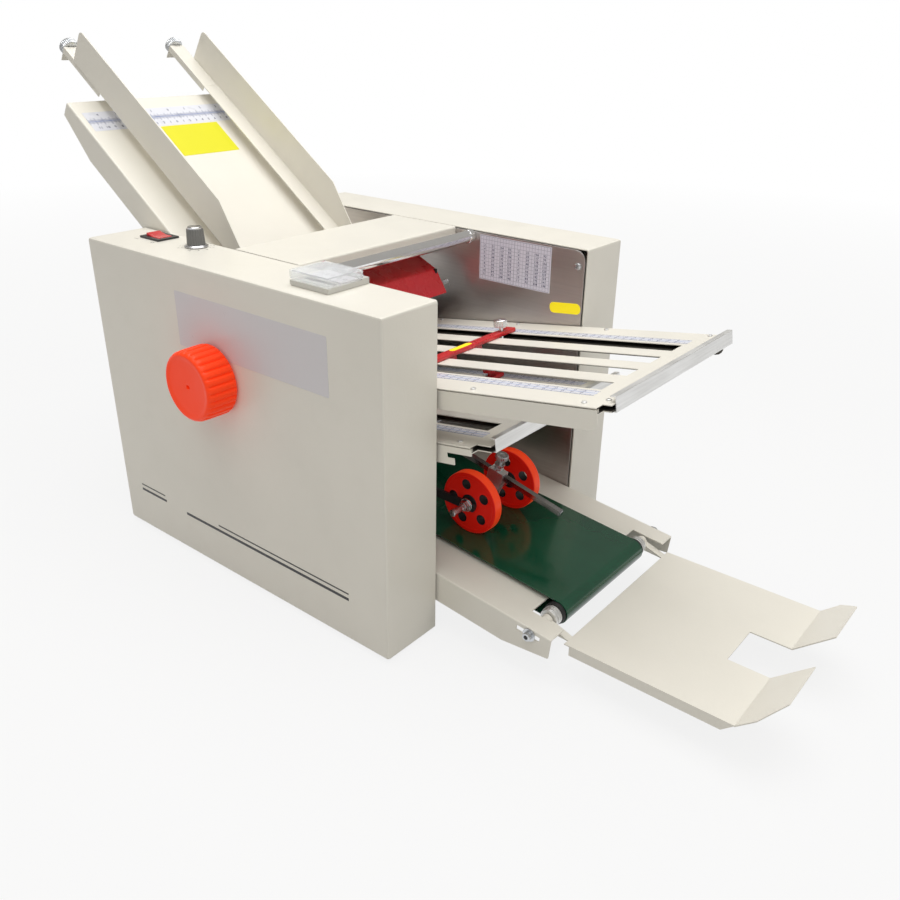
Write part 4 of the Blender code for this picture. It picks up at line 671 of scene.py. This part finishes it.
def pan_head(radius):
    """A pan head screw with a cross recess, standing on z = 0."""
    tall, arm, slim = 0.62 * radius, 0.52 * radius, 0.13 * radius
    head = upright([(0.0, 0.0), (0.0, radius), (0.35 * tall, radius), (0.75 * tall, 0.86 * radius),
                    (0.95 * tall, 0.55 * radius), (tall, 0.0)], 28)
    head = carved(head, brick((-arm, -slim, 0.5 * tall), (arm, slim, 2.0 * tall)))
    return carved(head, brick((-slim, -arm, 0.45 * tall), (slim, arm, 2.1 * tall)))


def hexagon(radius, low, high):
    """A hexagon nut or head about Z with turned corners."""
    bm = bmesh.new()
    middle = (low + high) / 2
    bmesh.ops.create_cone(bm, cap_ends=True, segments=6, radius1=radius * MM,
                          radius2=radius * MM, depth=(high - low) * MM)
    bm.transform(at(0.0, 0.0, middle))
    eased(bm, [edge for edge in bm.edges if all(vert.co.z > middle * MM for vert in edge.verts)],
          0.14 * radius, 2)
    return bm


def washer(radius, bore, low, high):
    """A flat washer about Z."""
    ease = 0.15 * (high - low)
    return upright([(low, bore), (low, radius - ease), (low + ease, radius), (high - ease, radius),
                    (high, radius - ease), (high, bore)], 40, True)


def screws(name, body, matrix, places, radius, paint="zinc"):
    """Pan head screws at places of one frame, as one piece."""
    turns = [matrix @ at(*place) @ Matrix.Rotation(1.1 * index, 4, "Z")
             for index, place in enumerate(places)]
    piece(repeated(pan_head(radius), turns), name, body, paint)


# The machine


def covers():
    """Both side covers, the top plate, the frame plates and the feet."""
    for name in ("left_cover", "right_cover"):
        sheet(name, f"{name}_shell")
    sheet("top_plate", "top_sheet", bend=2.2)
    for name in ("left_frame_plate", "right_frame_plate"):
        sheet(name, f"{name}_sheet", paint="steel")
    for node in ("rear_left_foot", "rear_right_foot", "front_left_foot", "front_right_foot"):
        middle, size = extent(node)
        radius, tall = size.x / 2, size.z
        foot = lathe([(0.0, 0.0), (0.0, radius - 0.8), (0.6, radius), (0.6 * tall, radius),
                      (tall, radius - 1.2), (tall, 0.0)], 40)
        piece(foot, f"{node}_pad", BODY, "rubber",
              Matrix.Translation(middle) @ at(0.0, 0.0, -tall / 2) @ FACING_LEFT, node)


def cover_prints():
    """Blank name plate and the two pairs of lines on the left cover's side."""
    side = MACHINE @ at(0.0, -COVER_SIDE) @ FACING_LEFT
    piece(tile((158.5, 276.5), (389.0, 337.0), 1.5), "name_plate", BODY, "vinyl", side)
    for name, low, high in (("lines_rear", (36.0, 63.0), (85.0, 64.5)),
                            ("lines_rear_heavy", (36.0, 55.5), (87.0, 58.5)),
                            ("lines_front", (190.0, 61.2), (403.5, 62.8)),
                            ("lines_front_heavy", (128.0, 53.5), (403.5, 56.8))):
        piece(tile(low, high), name, BODY, "stripe", side)


def panel_prints():
    """Ruled chart and plain yellow tab on the right frame plate, and both plates' screws."""
    side = MACHINE @ at(0.0, PLATE_SIDE) @ FACING_LEFT
    piece(ruled(tile((308.5, 310.5), (411.5, 364.5), 0.8)), "ruled_chart", BODY, "chart", side)
    left, top = CHART_CORNER
    labels = [(first + step * row, left + block + aside, top - 10.9 - CHART_ROW * row)
              for block in (0.0, CHART_BLOCK) for row in range(9)
              for aside, first, step in ((6.3, 3, 1), (18.8, 21, 9), (31.3, 104, 13),
                                         (43.0, 92, 7))]
    numbers(labels, 3.6, "chart_numbers", BODY, "figures", side)
    piece(tile((-20.8, -6.3), (20.8, 6.3), 5.4), "yellow_tab", BODY, "bright_yellow",
          side @ at(434.0, 297.5) @ spun(7.0, "Z"))
    places = [(447.4, 348.5), (447.4, 60.0), (30.0, 348.5), (30.0, 60.0)]
    screws("right_panel_screws", BODY, side, places, 4.2)
    screws("left_panel_screws", BODY, MACHINE @ at(0.0, -PLATE_SIDE) @ FACING_RIGHT,
           [(x, -z) for x, z in places], 4.2)


def tie_rod():
    """Chromed cross rod with a collar at each end."""
    middle, size = extent("tie_rod")
    half, collar = size.y / 2, 8.2
    profile = [(half, 0.0), (half, collar - 0.5), (half - 0.5, collar), (half - 7.5, collar),
               (half - 8.0, collar - 0.5), (half - 8.0, 7.0)]
    profile += [(-along, reach) for along, reach in reversed(profile)]
    piece(lathe(profile, 72), "chromed_tie_rod", BODY, "chrome", Matrix.Translation(middle),
          "tie_rod")


def hopper():
    """Sloping paper plate with its ruler, yellow tab, rail and the two guides."""
    sheet("hopper_plate", "hopper_sheet", bend=2.0)
    piece(lathe([(-128.1, 0.0), (-128.1, 4.0), (128.1, 4.0), (128.1, 0.0)], 32), "guide_rail",
          BODY, "turned_steel", HOPPER @ at(92.0, 0.0, 8.0), "hopper_rail")
    place = HOPPER @ at(-189.5, 0.0) @ spun(90.0, "Z")
    piece(ruled(tile((-120.0, -16.5), (120.0, 16.5), 0.8)), "hopper_ruler", BODY, "ruler", place)
    labels = [(abs(count), count * 10.0, -11.0) for count in range(-11, 12)]
    labels += [(abs(count), count * 25.4, 11.5) for count in range(-4, 5)]
    numbers(labels, 5.0, "hopper_ruler_numbers", BODY, "figures", place)
    piece(tile((-171.5, -30.0), (-116.5, 58.0), 1.5), "hopper_tab", BODY, "yellow", HOPPER)
    for side, way in (("left", -1), ("right", 1)):
        body = f"{side}_guide"
        sheet(f"{side}_paper_guide", f"{side}_guide_sheet", body, bend=1.6)
        sheet(f"{side}_guide_arm", f"{side}_arm_channel", body, bend=1.0, inside=0.4, wide=2.2)
        guide_wheel(side, HOPPER @ at(-306.0, way * 78.1, 12.3))


def guide_wheel(side, matrix):
    """Knurled zinc wheel on a short screw, its face towards the hopper's back."""
    rings = [(-9.3, 4.0, 0.0), (-9.3, 10.0, 0.0), (-8.9, 10.8, 0.3), (-8.3, 11.4, 0.7),
             (-5.8, 11.4, 0.7), (-5.4, 10.2, 0.2), (-4.8, 9.8, 0.0), (-4.4, 10.4, 0.2),
             (-3.8, 11.4, 0.7), (-1.4, 11.4, 0.7), (-0.8, 10.6, 0.2), (-0.4, 9.0, 0.0)]
    stem = upright([(-9.3, 0.0), (-9.3, 2.5), (11.4, 2.5), (12.0, 1.9), (12.0, 0.0)])
    piece(merged(fluted(rings, 30), stem), f"{side}_knurled_wheel", f"{side}_wheel_screw", "zinc",
          matrix @ spun(90.0, "Y"), f"{side}_guide_wheel", crease=GROOVED)


def knob():
    """Fluted orange hand knob with a shallow face and a socket in its middle."""
    middle, size = extent("hand_knob")
    radius, deep = size.x / 2, size.y
    rings = [(0.0, 6.0, 0.0), (0.0, radius - 3.0, 0.0), (0.7, radius - 1.2, 0.4),
             (2.2, radius - 0.3, 1.4), (5.0, radius, 2.0), (deep - 8.0, radius - 0.3, 2.0),
             (deep - 5.0, radius - 0.6, 1.7), (deep - 2.8, radius - 1.3, 0.9),
             (deep - 1.0, radius - 2.5, 0.2), (deep - 0.2, radius - 3.8, 0.0),
             (deep, radius - 5.0, 0.0), (deep - 0.5, radius - 7.5, 0.0),
             (deep - 1.4, radius - 11.0, 0.0), (deep - 1.8, 9.0, 0.0), (deep - 1.8, 3.0, 0.0),
             (deep - 2.2, 2.4, 0.0), (deep - 7.0, 2.2, 0.0)]
    piece(fluted(rings, 28, 4.0, 10), "fluted_hand_knob", "knob_roller", "knob",
          Matrix.Translation(middle) @ at(0.0, deep / 2) @ FACING_LEFT, "hand_knob", crease=45.0)


def sorted_roller(node, body):
    """A roller solid with its covering, its shaft and its gear in their own finishes."""
    bm = solid(node)
    middle = extent(node)[0]
    covering_end, gear_start, shaft_reach = 122.8, 130.0, 6.2
    for face in bm.faces:
        centre = face.calc_center_median()
        reach = math.hypot(centre.x - middle.x, centre.z - middle.z) / MM
        along = abs(centre.y - BASE.y) / MM
        if along > covering_end and reach < shaft_reach:
            face.material_index = 1
        elif along > gear_start:
            face.material_index = 2
    piece(broken(bm, 0.2), f"{node}_dressed", body, ("rubber", "turned_steel", "nylon"),
          node=node)


def rollers():
    """Fold rollers, feed roller, the conveyor's drive roller and the separator pad."""
    sorted_roller("fold_roller_1", "knob_roller")
    for number in range(2, 7):
        sorted_roller(f"fold_roller_{number}", f"roller_{number}")
    sorted_roller("feed_roller", "feed")
    sorted_roller("drive_roller", "delivery_drive")
    piece(solid("separator_pad"), "separator_rubber", "separator", "rubber",
          node="separator_pad")


def inside():
    """Motor, its pulley, the drive belts and the rear fold pockets."""
    middle, size = extent("drive_motor")
    end = size.y / 2
    start = -end
    profile = [(start, 0.0), (start, 31.5), (start + 0.6, 32.0), (start + 35.0, 32.0),
               (start + 35.5, 35.0), (start + 36.2, 36.0)]
    along = start + 46.0
    while along < end - 12.0:
        profile += [(along, 36.0), (along + 0.8, 34.5), (along + 2.4, 34.5), (along + 3.2, 36.0)]
        along += 7.2
    profile += [(end - 3.0, 36.0), (end - 0.8, 34.8), (end, 32.0), (end, 12.0),
                (end - 1.5, 11.0), (end - 1.5, 0.0)]
    piece(lathe(profile, 72), "ribbed_motor", BODY, "cast", Matrix.Translation(middle),
          "drive_motor")
    middle, size = extent("motor_pulley")
    far = size.y / 2
    near = -far
    profile = [(far, 0.0), (far, 4.0), (near + 8.0, 4.0), (near + 8.0, 9.8), (near + 7.4, 10.0),
               (near + 0.6, 10.0), (near, 9.8), (near, 0.0)]
    piece(lathe(profile, 48), "turned_motor_pulley", "motor_drive", "turned_steel",
          Matrix.Translation(middle), "motor_pulley")
    for name in ("motor_belt", "delivery_drive_belt"):
        piece(solid(name), f"{name}_loop", BODY, "rubber", node=name)
    sheet("rear_fold_trays", "rear_pockets", bend=1.0, inside=0.4, wide=2.0)


def guard():
    """Red finger guard, its black end bracket and the wire spring."""
    body = "finger_guard"
    sheet("red_guard", "bent_red_guard", body, "red", wide=3.0)
    piece(brick((251.5, 95.5, 308.5), (266.0, 98.5, 320.5), 0.4), "guard_bracket", body,
          "black_steel", MACHINE)
    points = [(271.6, 103.5, 299.0), (271.6, 103.5, 302.5)]
    for step in range(97):
        angle = math.pi * step / 6
        points.append((269.0 + 2.6 * math.cos(angle), 103.5 + 0.12 * step,
                       302.5 + 2.6 * math.sin(angle)))
    points.append((271.6, 115.2, 296.0))
    piece(wire(points, 0.5), "guard_spring", body, "turned_steel", MACHINE, flat=False)


def belt():
    """Delivery belt with its frame, end roller, axle bolts and output tray."""
    piece(solid("delivery_belt"), "green_belt", BODY, "green", node="delivery_belt")
    sheet("conveyor_frame", "conveyor_sheet")
    half, bore, core, alloy = 84.0, 2.8, 11.8, 10.5
    rubber = lathe([(half, bore), (half, core - 1.0), (half - 0.8, core), (0.8 - half, core),
                    (-half, core - 1.0), (-half, bore)], 64, True)
    piece(rubber, "end_roller_core", "delivery_end", "rubber", CONVEYOR, "end_roller")
    steps = [(0.1, bore), (0.1, alloy - 0.6), (0.6, alloy), (2.6, alloy), (3.0, alloy - 1.2),
             (3.6, alloy - 1.2), (4.0, alloy), (6.0, alloy), (6.4, alloy - 1.4),
             (7.2, alloy - 1.4), (7.6, alloy - 0.4), (9.6, alloy - 0.6), (10.0, alloy - 1.0),
             (10.0, bore)]
    for name, way in (("near", -1), ("far", 1)):
        collar = lathe([(way * (half + along), radius) for along, radius in steps], 64, True)
        piece(collar, f"{name}_roller_collar", "delivery_end", "aluminium", CONVEYOR)
    seat = 128.1
    axle = [lathe([(-seat, 0.0), (-seat, 2.5), (seat, 2.5), (seat, 0.0)], 24)]
    sockets = []
    for turn in (FACING_LEFT, FACING_RIGHT):
        cap = upright([(seat + 1.2, 0.0), (seat + 1.2, 4.6), (seat + 5.6, 4.6),
                       (seat + 6.2, 4.0), (seat + 6.2, 0.0)], 32)
        axle += [moved(washer(7.2, 2.2, seat, seat + 1.2), turn), moved(cap, turn)]
        sockets.append(moved(hexagon(2.7, seat + 6.2, seat + 6.3), turn))
    piece(merged(*axle), "end_roller_bolts", BODY, "zinc", CONVEYOR, "end_roller_axle")
    piece(merged(*sockets), "end_roller_bolt_sockets", BODY, "rubber", CONVEYOR)
    sheet("output_tray", "output_tray_sheet", "delivery_tray", bend=2.0, least=15.0)


def press():
    """Swinging rod, its carriage, both orange wheels and the clamp screw."""
    sheet("press_rod", "press_rod_bar", "press_arm", "dark_chrome", rim=0.8)
    sheet("press_bracket", "press_bracket_sheet", "press_carriage", "aluminium", bend=1.0)
    hub = extent("near_press_wheel")[0]
    axis = Matrix.Translation((hub.x, BASE.y, hub.z)) @ at(0.0, PRESS_ASIDE) @ spun(ROD_LEAN, "Y")
    press_wheel("near_press_wheel", "near_wheel", axis @ at(0.0, -45.0))
    press_wheel("far_press_wheel", "far_wheel", axis @ at(0.0, 29.0))
    press_axle(axis)
    rings = [(20.0, 3.0, 0.0), (20.0, 6.6, 0.0), (20.4, 7.2, 0.3), (21.0, 7.5, 0.7),
             (25.0, 7.5, 0.7), (25.6, 7.2, 0.3), (26.0, 6.6, 0.0), (26.0, 3.0, 0.0),
             (25.6, 2.6, 0.0)]
    stem = upright([(3.3, 0.0), (3.3, 2.2), (3.6, 2.5), (20.0, 2.5), (20.0, 0.0)])
    screw = merged(fluted(rings, 24), stem, hexagon(5.6, 5.4, 9.2), hexagon(5.0, 9.6, 12.8),
                   washer(6.0, 2.4, 13.0, 14.2))
    piece(screw, "knurled_clamp_screw", "clamp_screw", "zinc", PRESS @ at(WHEEL_ALONG, 0.0),
          "press_clamp_screw", crease=GROOVED)


def press_wheel(name, body, place):
    """One orange wheel: crowned tread, thin web with five round holes whose walls are painted
    black as painted shade, short hub.
    """
    radius, wide, ring, opening = 36.5, 12.0, 22.5, 6.0
    half = [(0.0, 4.3), (0.0, 10.0), (0.4, 10.4), (0.4, radius - 5.0), (0.0, radius - 4.6),
            (0.0, radius - 1.2), (0.5, radius - 0.4), (1.4, radius)]
    profile = half + [(wide - along, reach) for along, reach in reversed(half)]
    cutters = []
    for count in range(5):
        angle = 2 * math.pi * (count + 0.59) / 5
        hole = lathe([(-2.0, 0.0), (-2.0, opening), (wide + 2.0, opening), (wide + 2.0, 0.0)], 32)
        cutters.append(moved(hole, at(ring * math.cos(angle), 0.0, ring * math.sin(angle))))
    wheel = carved(lathe(profile, 96, True), merged(*cutters))
    for face in wheel.faces:
        middle = face.calc_center_median() / MM
        reach = math.hypot(middle.x, middle.z)
        level = abs(face.normal.y) > 0.7
        # The hub faces and the hole walls take the black finish; on the hole walls it is painted
        # shade.
        if reach < 10.2 or abs(reach - ring) < opening and not level:
            face.material_index = 1
        else:
            face.material_index = 2 if level and reach < radius - 0.8 else 0
    piece(wheel, f"{name}_moulding", body, ("wheel", "rubber", "wheel_face"), place, name,
          crease=GROOVED)


def press_axle(axis):
    """Axle with its nuts and washers, and the black arm with a bolt at its end."""
    arm_near, arm_far, far = -48.6, -45.6, 41.6
    near = arm_near - 26.3
    parts = [lathe([(near, 0.0), (near, 3.2), (near + 0.6, 4.0), (near + 6.0, 4.0),
                    (near + 6.3, 3.5), (near + 15.0, 3.5), (near + 15.3, 4.0), (far + 6.0, 4.0),
                    (far + 6.0, 0.0)], 32)]
    for turn in (at(0.0, arm_near - 0.3) @ FACING_LEFT, at(0.0, far) @ FACING_RIGHT):
        parts += [moved(part, turn) for part in (washer(7.8, 3.8, 0.0, 1.4),
                                                 hexagon(6.6, 1.4, 5.2), hexagon(5.8, 5.6, 7.9))]
    piece(merged(*parts), "press_axle_turned", "press_carriage", "turned_steel", axis,
          "press_axle")
    arm = brick((-55.0, arm_near, -5.25), (10.5, arm_far, 5.25))
    for vert in arm.verts:
        if vert.co.x < 0.0:
            vert.co.z -= 12.5 * MM
    eased(arm, running(arm, 1, 1.5), 2.6, 5)
    piece(arm, "black_press_arm", "press_carriage", "black_steel", axis)
    bolt = moved(merged(hexagon(4.2, 0.0, 3.0), washer(5.0, 2.2, -0.8, 0.0)), FACING_LEFT)
    piece(bolt, "press_arm_bolt", "press_carriage", "zinc",
          axis @ at(-49.0, arm_near - 0.8, -11.0))


def lined(bm, matrix):
    """Gives a tray sheet painted shade: a dark paint in the paper gap, in its slots and inside its
    flanges, where shade falls.
    """
    inward = matrix.inverted()
    for face in bm.faces:
        place = inward @ face.calc_center_median() / MM
        normal = inward.to_3x3() @ face.normal
        inner = (abs(place.z) < TRAY_FACE - 0.4 and abs(place.y) < 124.0
                 and normal.z * place.z < 0.0)
        edge = abs(normal.z) < 0.5 and 0.1 - TRAY_FACE < place.z < 0.0 and abs(place.y) < 82.0
        flange = abs(normal.y) > 0.7 and normal.y * place.y < 0.0 and place.z < -TRAY_FACE
        face.material_index = int(inner or edge or flange)
    return bm


def tray(name, matrix, strip_end, places, openings=()):
    """One front tray: grid, base, end channel, both rulers and their numbers, screws."""
    body = f"{name}_tray"
    base = folded(f"{name}_tray_base", bend=1.6)
    if openings:
        base = carved(base, merged(*(moved(brick((50.0, low, -6.0), (391.5, high, 0.0)), matrix)
                                     for low, high in openings)))
    for part, bm in (("grid", folded(f"{name}_tray_grid", bend=1.2, wide=2.2)), ("base", base)):
        # The faces in the paper gap, the slot walls and the flange insides take the dark paint as
        # painted shade.
        piece(lined(bm, matrix), f"{name}_{part}_sheet", body, ("powder_coat", "painted_shade"),
              node=f"{name}_tray_{part}")
    sheet(f"{name}_tray_channel", f"{name}_end_channel", body, "aluminium", bend=0.6,
          inside=0.3, wide=2.2)
    labels = []
    for side, middle in (("near", -91.2), ("far", 91.2)):
        strip = ruled(tile((20.0, -6.6), (strip_end, 6.6), 0.8))
        piece(strip, f"{name}_{side}_ruler", body, "tray_ruler",
              matrix @ at(0.0, middle, TRAY_FACE))
        for count in range(3, int(strip_end / 10.0)):
            labels += [(count - 2, count * 10.0, middle + across) for across in (-2.3, 2.4)]
    numbers(labels, 2.9, f"{name}_ruler_numbers", body, "figures", matrix, TRAY_FACE + INK)
    screws(f"{name}_tray_screws", body, matrix @ at(0.0, 0.0, TRAY_FACE), places, 2.7,
           "aluminium")


def trays():
    """Both front trays, the stop bars and the upper thumb screw."""
    tray("upper", UPPER, 394.0,
         [(35.5, -117.5), (156.1, -117.5), (276.7, -117.5), (397.3, -117.5), (413.5, -104.5),
          (40.0, 119.0), (160.0, 119.0), (281.0, 119.0), (403.4, 119.0)],
         [(-80.6, -39.4), (-35.4, 5.8), (9.8, 51.0)])
    tray("lower", LOWER, 265.7,
         [(32.0, -116.0), (142.0, -116.0), (252.4, -116.0), (32.0, 119.0), (142.0, 119.0),
          (260.0, 119.0)])
    sheet("upper_stop_bar", "upper_red_bar", "upper_stop", "red", rim=0.6)
    bar, bar_top = UPPER @ at(173.0, 0.0), TRAY_FACE + 5.3
    piece(tile((-4.0, -24.0), (4.0, 10.0), 3.0), "stop_yellow_tab", "upper_stop",
          "bright_yellow", bar @ at(0.0, 0.0, bar_top))
    low = bar_top + 5.0
    rings = [(low, 3.0, 0.0), (low, 7.2, 0.0), (low + 0.5, 7.8, 0.3), (low + 1.2, 8.0, 0.6),
             (low + 6.8, 8.0, 0.6), (low + 7.5, 7.7, 0.3), (low + 8.0, 7.0, 0.0),
             (low + 8.0, 3.0, 0.0), (low + 7.6, 2.4, 0.0)]
    stem = upright([(-3.0, 0.0), (-3.0, 2.0), (-2.5, 2.5), (low, 2.5), (low, 0.0)])
    piece(merged(fluted(rings, 26), stem), "upper_thumb_screw_knurled", "upper_thumb_screw",
          "chrome", bar @ at(0.0, 67.75), "upper_stop_screw", crease=GROOVED)
    sheet("lower_stop_bar", "lower_red_bar", "lower_stop", "red", rim=0.5)


def counter():
    """Sheet counter: pale base with its figure window under a clear lid."""
    sheet("counter_base", "counter_plinth", paint="pale", rim=0.4)
    sheet("counter_lid", "counter_clear_lid", "counter_cover", "clear", bend=0.6, inside=0.3,
          rim=0.2)
    middle, size = extent("counter_base")
    place = Matrix.Translation(middle) @ at(0.0, 0.0, 5.0 - size.z / 2)
    piece(tile((-19.0, -14.0), (19.0, -9.5), 0.4), "counter_slot", BODY, "grey", place)
    piece(tile((-21.0, -6.0), (21.0, 16.0), 1.2, 1.2), "counter_window", BODY, "vinyl", place)
    numbers([(0, count * 7.8, 5.0) for count in range(-2, 3)], 7.5, "counter_figures", BODY,
            "faint", place, 1.25)


def controls():
    """Rocker switch, speed dial with its printed scale, and the power inlet."""
    sheet("switch_bezel", "switch_frame", paint="dark", bend=0.6, rim=0.4)
    sheet("rocker_switch", "red_rocker", "power_rocker", "red", bend=0.8, inside=0.8, rim=0.5)
    top = on_cover("speed_dial")
    place = top @ at(0.0, 0.0, 0.3)
    rings = [(3.0, 4.0, 0.0), (3.0, 10.0, 0.5), (17.5, 9.3, 0.7), (19.2, 9.0, 0.5),
             (19.8, 8.4, 0.2), (19.8, 7.8, 0.0)]
    piece(fluted(rings, 20, 1.6), "dial_grip", "speed_control", "grey", place, "speed_dial",
          crease=GROOVED)
    skirt = upright([(0.0, 0.0), (0.0, 12.4), (0.4, 13.0), (1.2, 13.0), (2.6, 11.2), (3.0, 10.4),
                     (3.0, 0.0)], 64)
    cap = upright([(19.0, 0.0), (19.0, 8.0), (21.4, 8.0), (22.0, 7.3), (22.0, 0.0)], 64)
    stem = upright([(-8.0, 0.0), (-8.0, 3.0), (0.5, 3.0), (0.5, 0.0)])
    piece(merged(skirt, cap, stem), "dial_skirt_and_cap", "speed_control", "turned_steel", place,
          crease=GROOVED)
    piece(tile((-0.6, 2.0), (0.6, 7.2), 0.0, 0.15), "dial_pointer", "speed_control", "stripe",
          place @ at(0.0, 0.0, 22.0))
    turns = [spun(150 - 30 * count, "Z") for count in range(11)]
    piece(repeated(tile((-0.25, 0.0), (0.25, 1.8), 0.0, 0.1),
                   [turn @ at(0.0, 14.8) for turn in turns]),
          "dial_scale_marks", BODY, "faint", top)
    spots = [turn @ Vector((0.0, 19.2, 0.0)) for turn in turns]
    numbers([(count, spot.x, spot.y) for count, spot in enumerate(spots)], 3.4,
            "dial_scale_numbers", BODY, "faint", top, 0.1)
    switch = on_cover("switch_bezel")
    piece(tile((-19.5, -20.0), (-12.0, -19.4), 0.0, 0.1), "switch_line", BODY, "faint", switch)
    piece(upright([(0.0, 1.6), (0.0, 2.1), (0.1, 2.1), (0.1, 1.6)], 32, True), "switch_ring",
          BODY, "faint", switch @ at(15.0, -19.8))
    sheet("power_inlet", "power_socket_shell", paint="dark", bend=0.8, rim=0.4)


# The set


def stage():
    """Pale floor that keeps the shadow, plain world and soft lamps."""
    bm = bmesh.new()
    bmesh.ops.create_circle(bm, cap_ends=True, segments=64, radius=14.0)
    floor = shown("floor", meshed(bm, "floor"))
    floor.location = (0.0, 0.0, -0.0002)
    made, tree, _, place = blank("pale_floor", Base_Color=(0.60, 0.60, 0.60, 1.0), Roughness=0.9)
    path = add(tree, "LightPath").outputs
    seen = maths(tree, "MAXIMUM", path["Is Camera Ray"],
                 maths(tree, "MAXIMUM", path["Is Glossy Ray"], path["Is Transmission Ray"]))
    white = add(tree, "Emission", {"Color": (1.0, 1.0, 1.0, 1.0), "Strength": 1.0})
    away = add(tree, "VectorMath", {0: place}, operation="LENGTH").outputs["Value"]
    share = maths(tree, "MULTIPLY", seen, ranged(tree, away, 0.9, 3.0, 0.84, 1.0))
    blend = add(tree, "MixShader", {0: share, 1: tree.nodes["Principled BSDF"].outputs[0],
                                    2: white.outputs[0]})
    linked(tree, tree.nodes["Material Output"].inputs, Surface=blend.outputs[0])
    floor.data.materials.append(made)

    world = bpy.data.worlds.new("studio")
    SCENE.world = world
    world.use_nodes = True
    tree = world.node_tree
    tree.nodes.clear()
    path = add(tree, "LightPath").outputs
    seen = maths(tree, "MAXIMUM", path["Is Camera Ray"], path["Is Transmission Ray"])
    room = add(tree, "Background", {"Color": (1.0, 0.968, 0.905, 1.0), "Strength": 0.395})
    white = add(tree, "Background", {"Color": (1.0, 1.0, 1.0, 1.0), "Strength": 1.0})
    blend = add(tree, "MixShader", {0: seen, 1: room.outputs[0], 2: white.outputs[0]})
    add(tree, "OutputWorld", {"Surface": blend.outputs[0]})

    for name, place, size, power in (("key", (1.2, -1.6, 2.6), 1.8, 13.0),
                                     ("top", (0.0, 0.15, 2.7), 2.2, 55.0),
                                     ("front", (2.4, 0.2, 1.5), 1.6, 4.2)):
        lamp = bpy.data.lights.new(name, "AREA")
        lamp.size = size
        lamp.energy = power
        obj = shown(name, lamp)
        obj.location = place
        obj.rotation_mode = "QUATERNION"
        aim = Vector((0.0, 0.0, 0.2)) - Vector(place)
        obj.rotation_quaternion = aim.to_track_quat("-Z", "Y")


def camera():
    """The photograph's viewpoint."""
    lens = bpy.data.cameras.new("camera")
    lens.sensor_width = 36.0
    lens.lens = 35.6
    lens.clip_start, lens.clip_end = 0.01, 50.0
    obj = shown("camera", lens)
    forward = Vector((-0.56508, 0.70029, -0.43621))
    right = Vector((0.77412, 0.63290, 0.01326))
    above = Vector((-0.28536, 0.33019, 0.89975))
    turn = Matrix((right, above, -forward)).transposed().to_4x4()
    obj.matrix_world = Matrix.Translation(BASE + Vector((0.96079, -0.73236, 0.59785))) @ turn
    SCENE.camera = obj
    SCENE.view_settings.view_transform = "Standard"


for make in (camera, stage, covers, cover_prints, panel_prints, tie_rod, hopper, knob, rollers,
             inside, guard, belt, press, trays, counter, controls):
    make()
for shape in DIGITS.values():
    bpy.data.meshes.remove(shape)
bpy.context.view_layer.update()
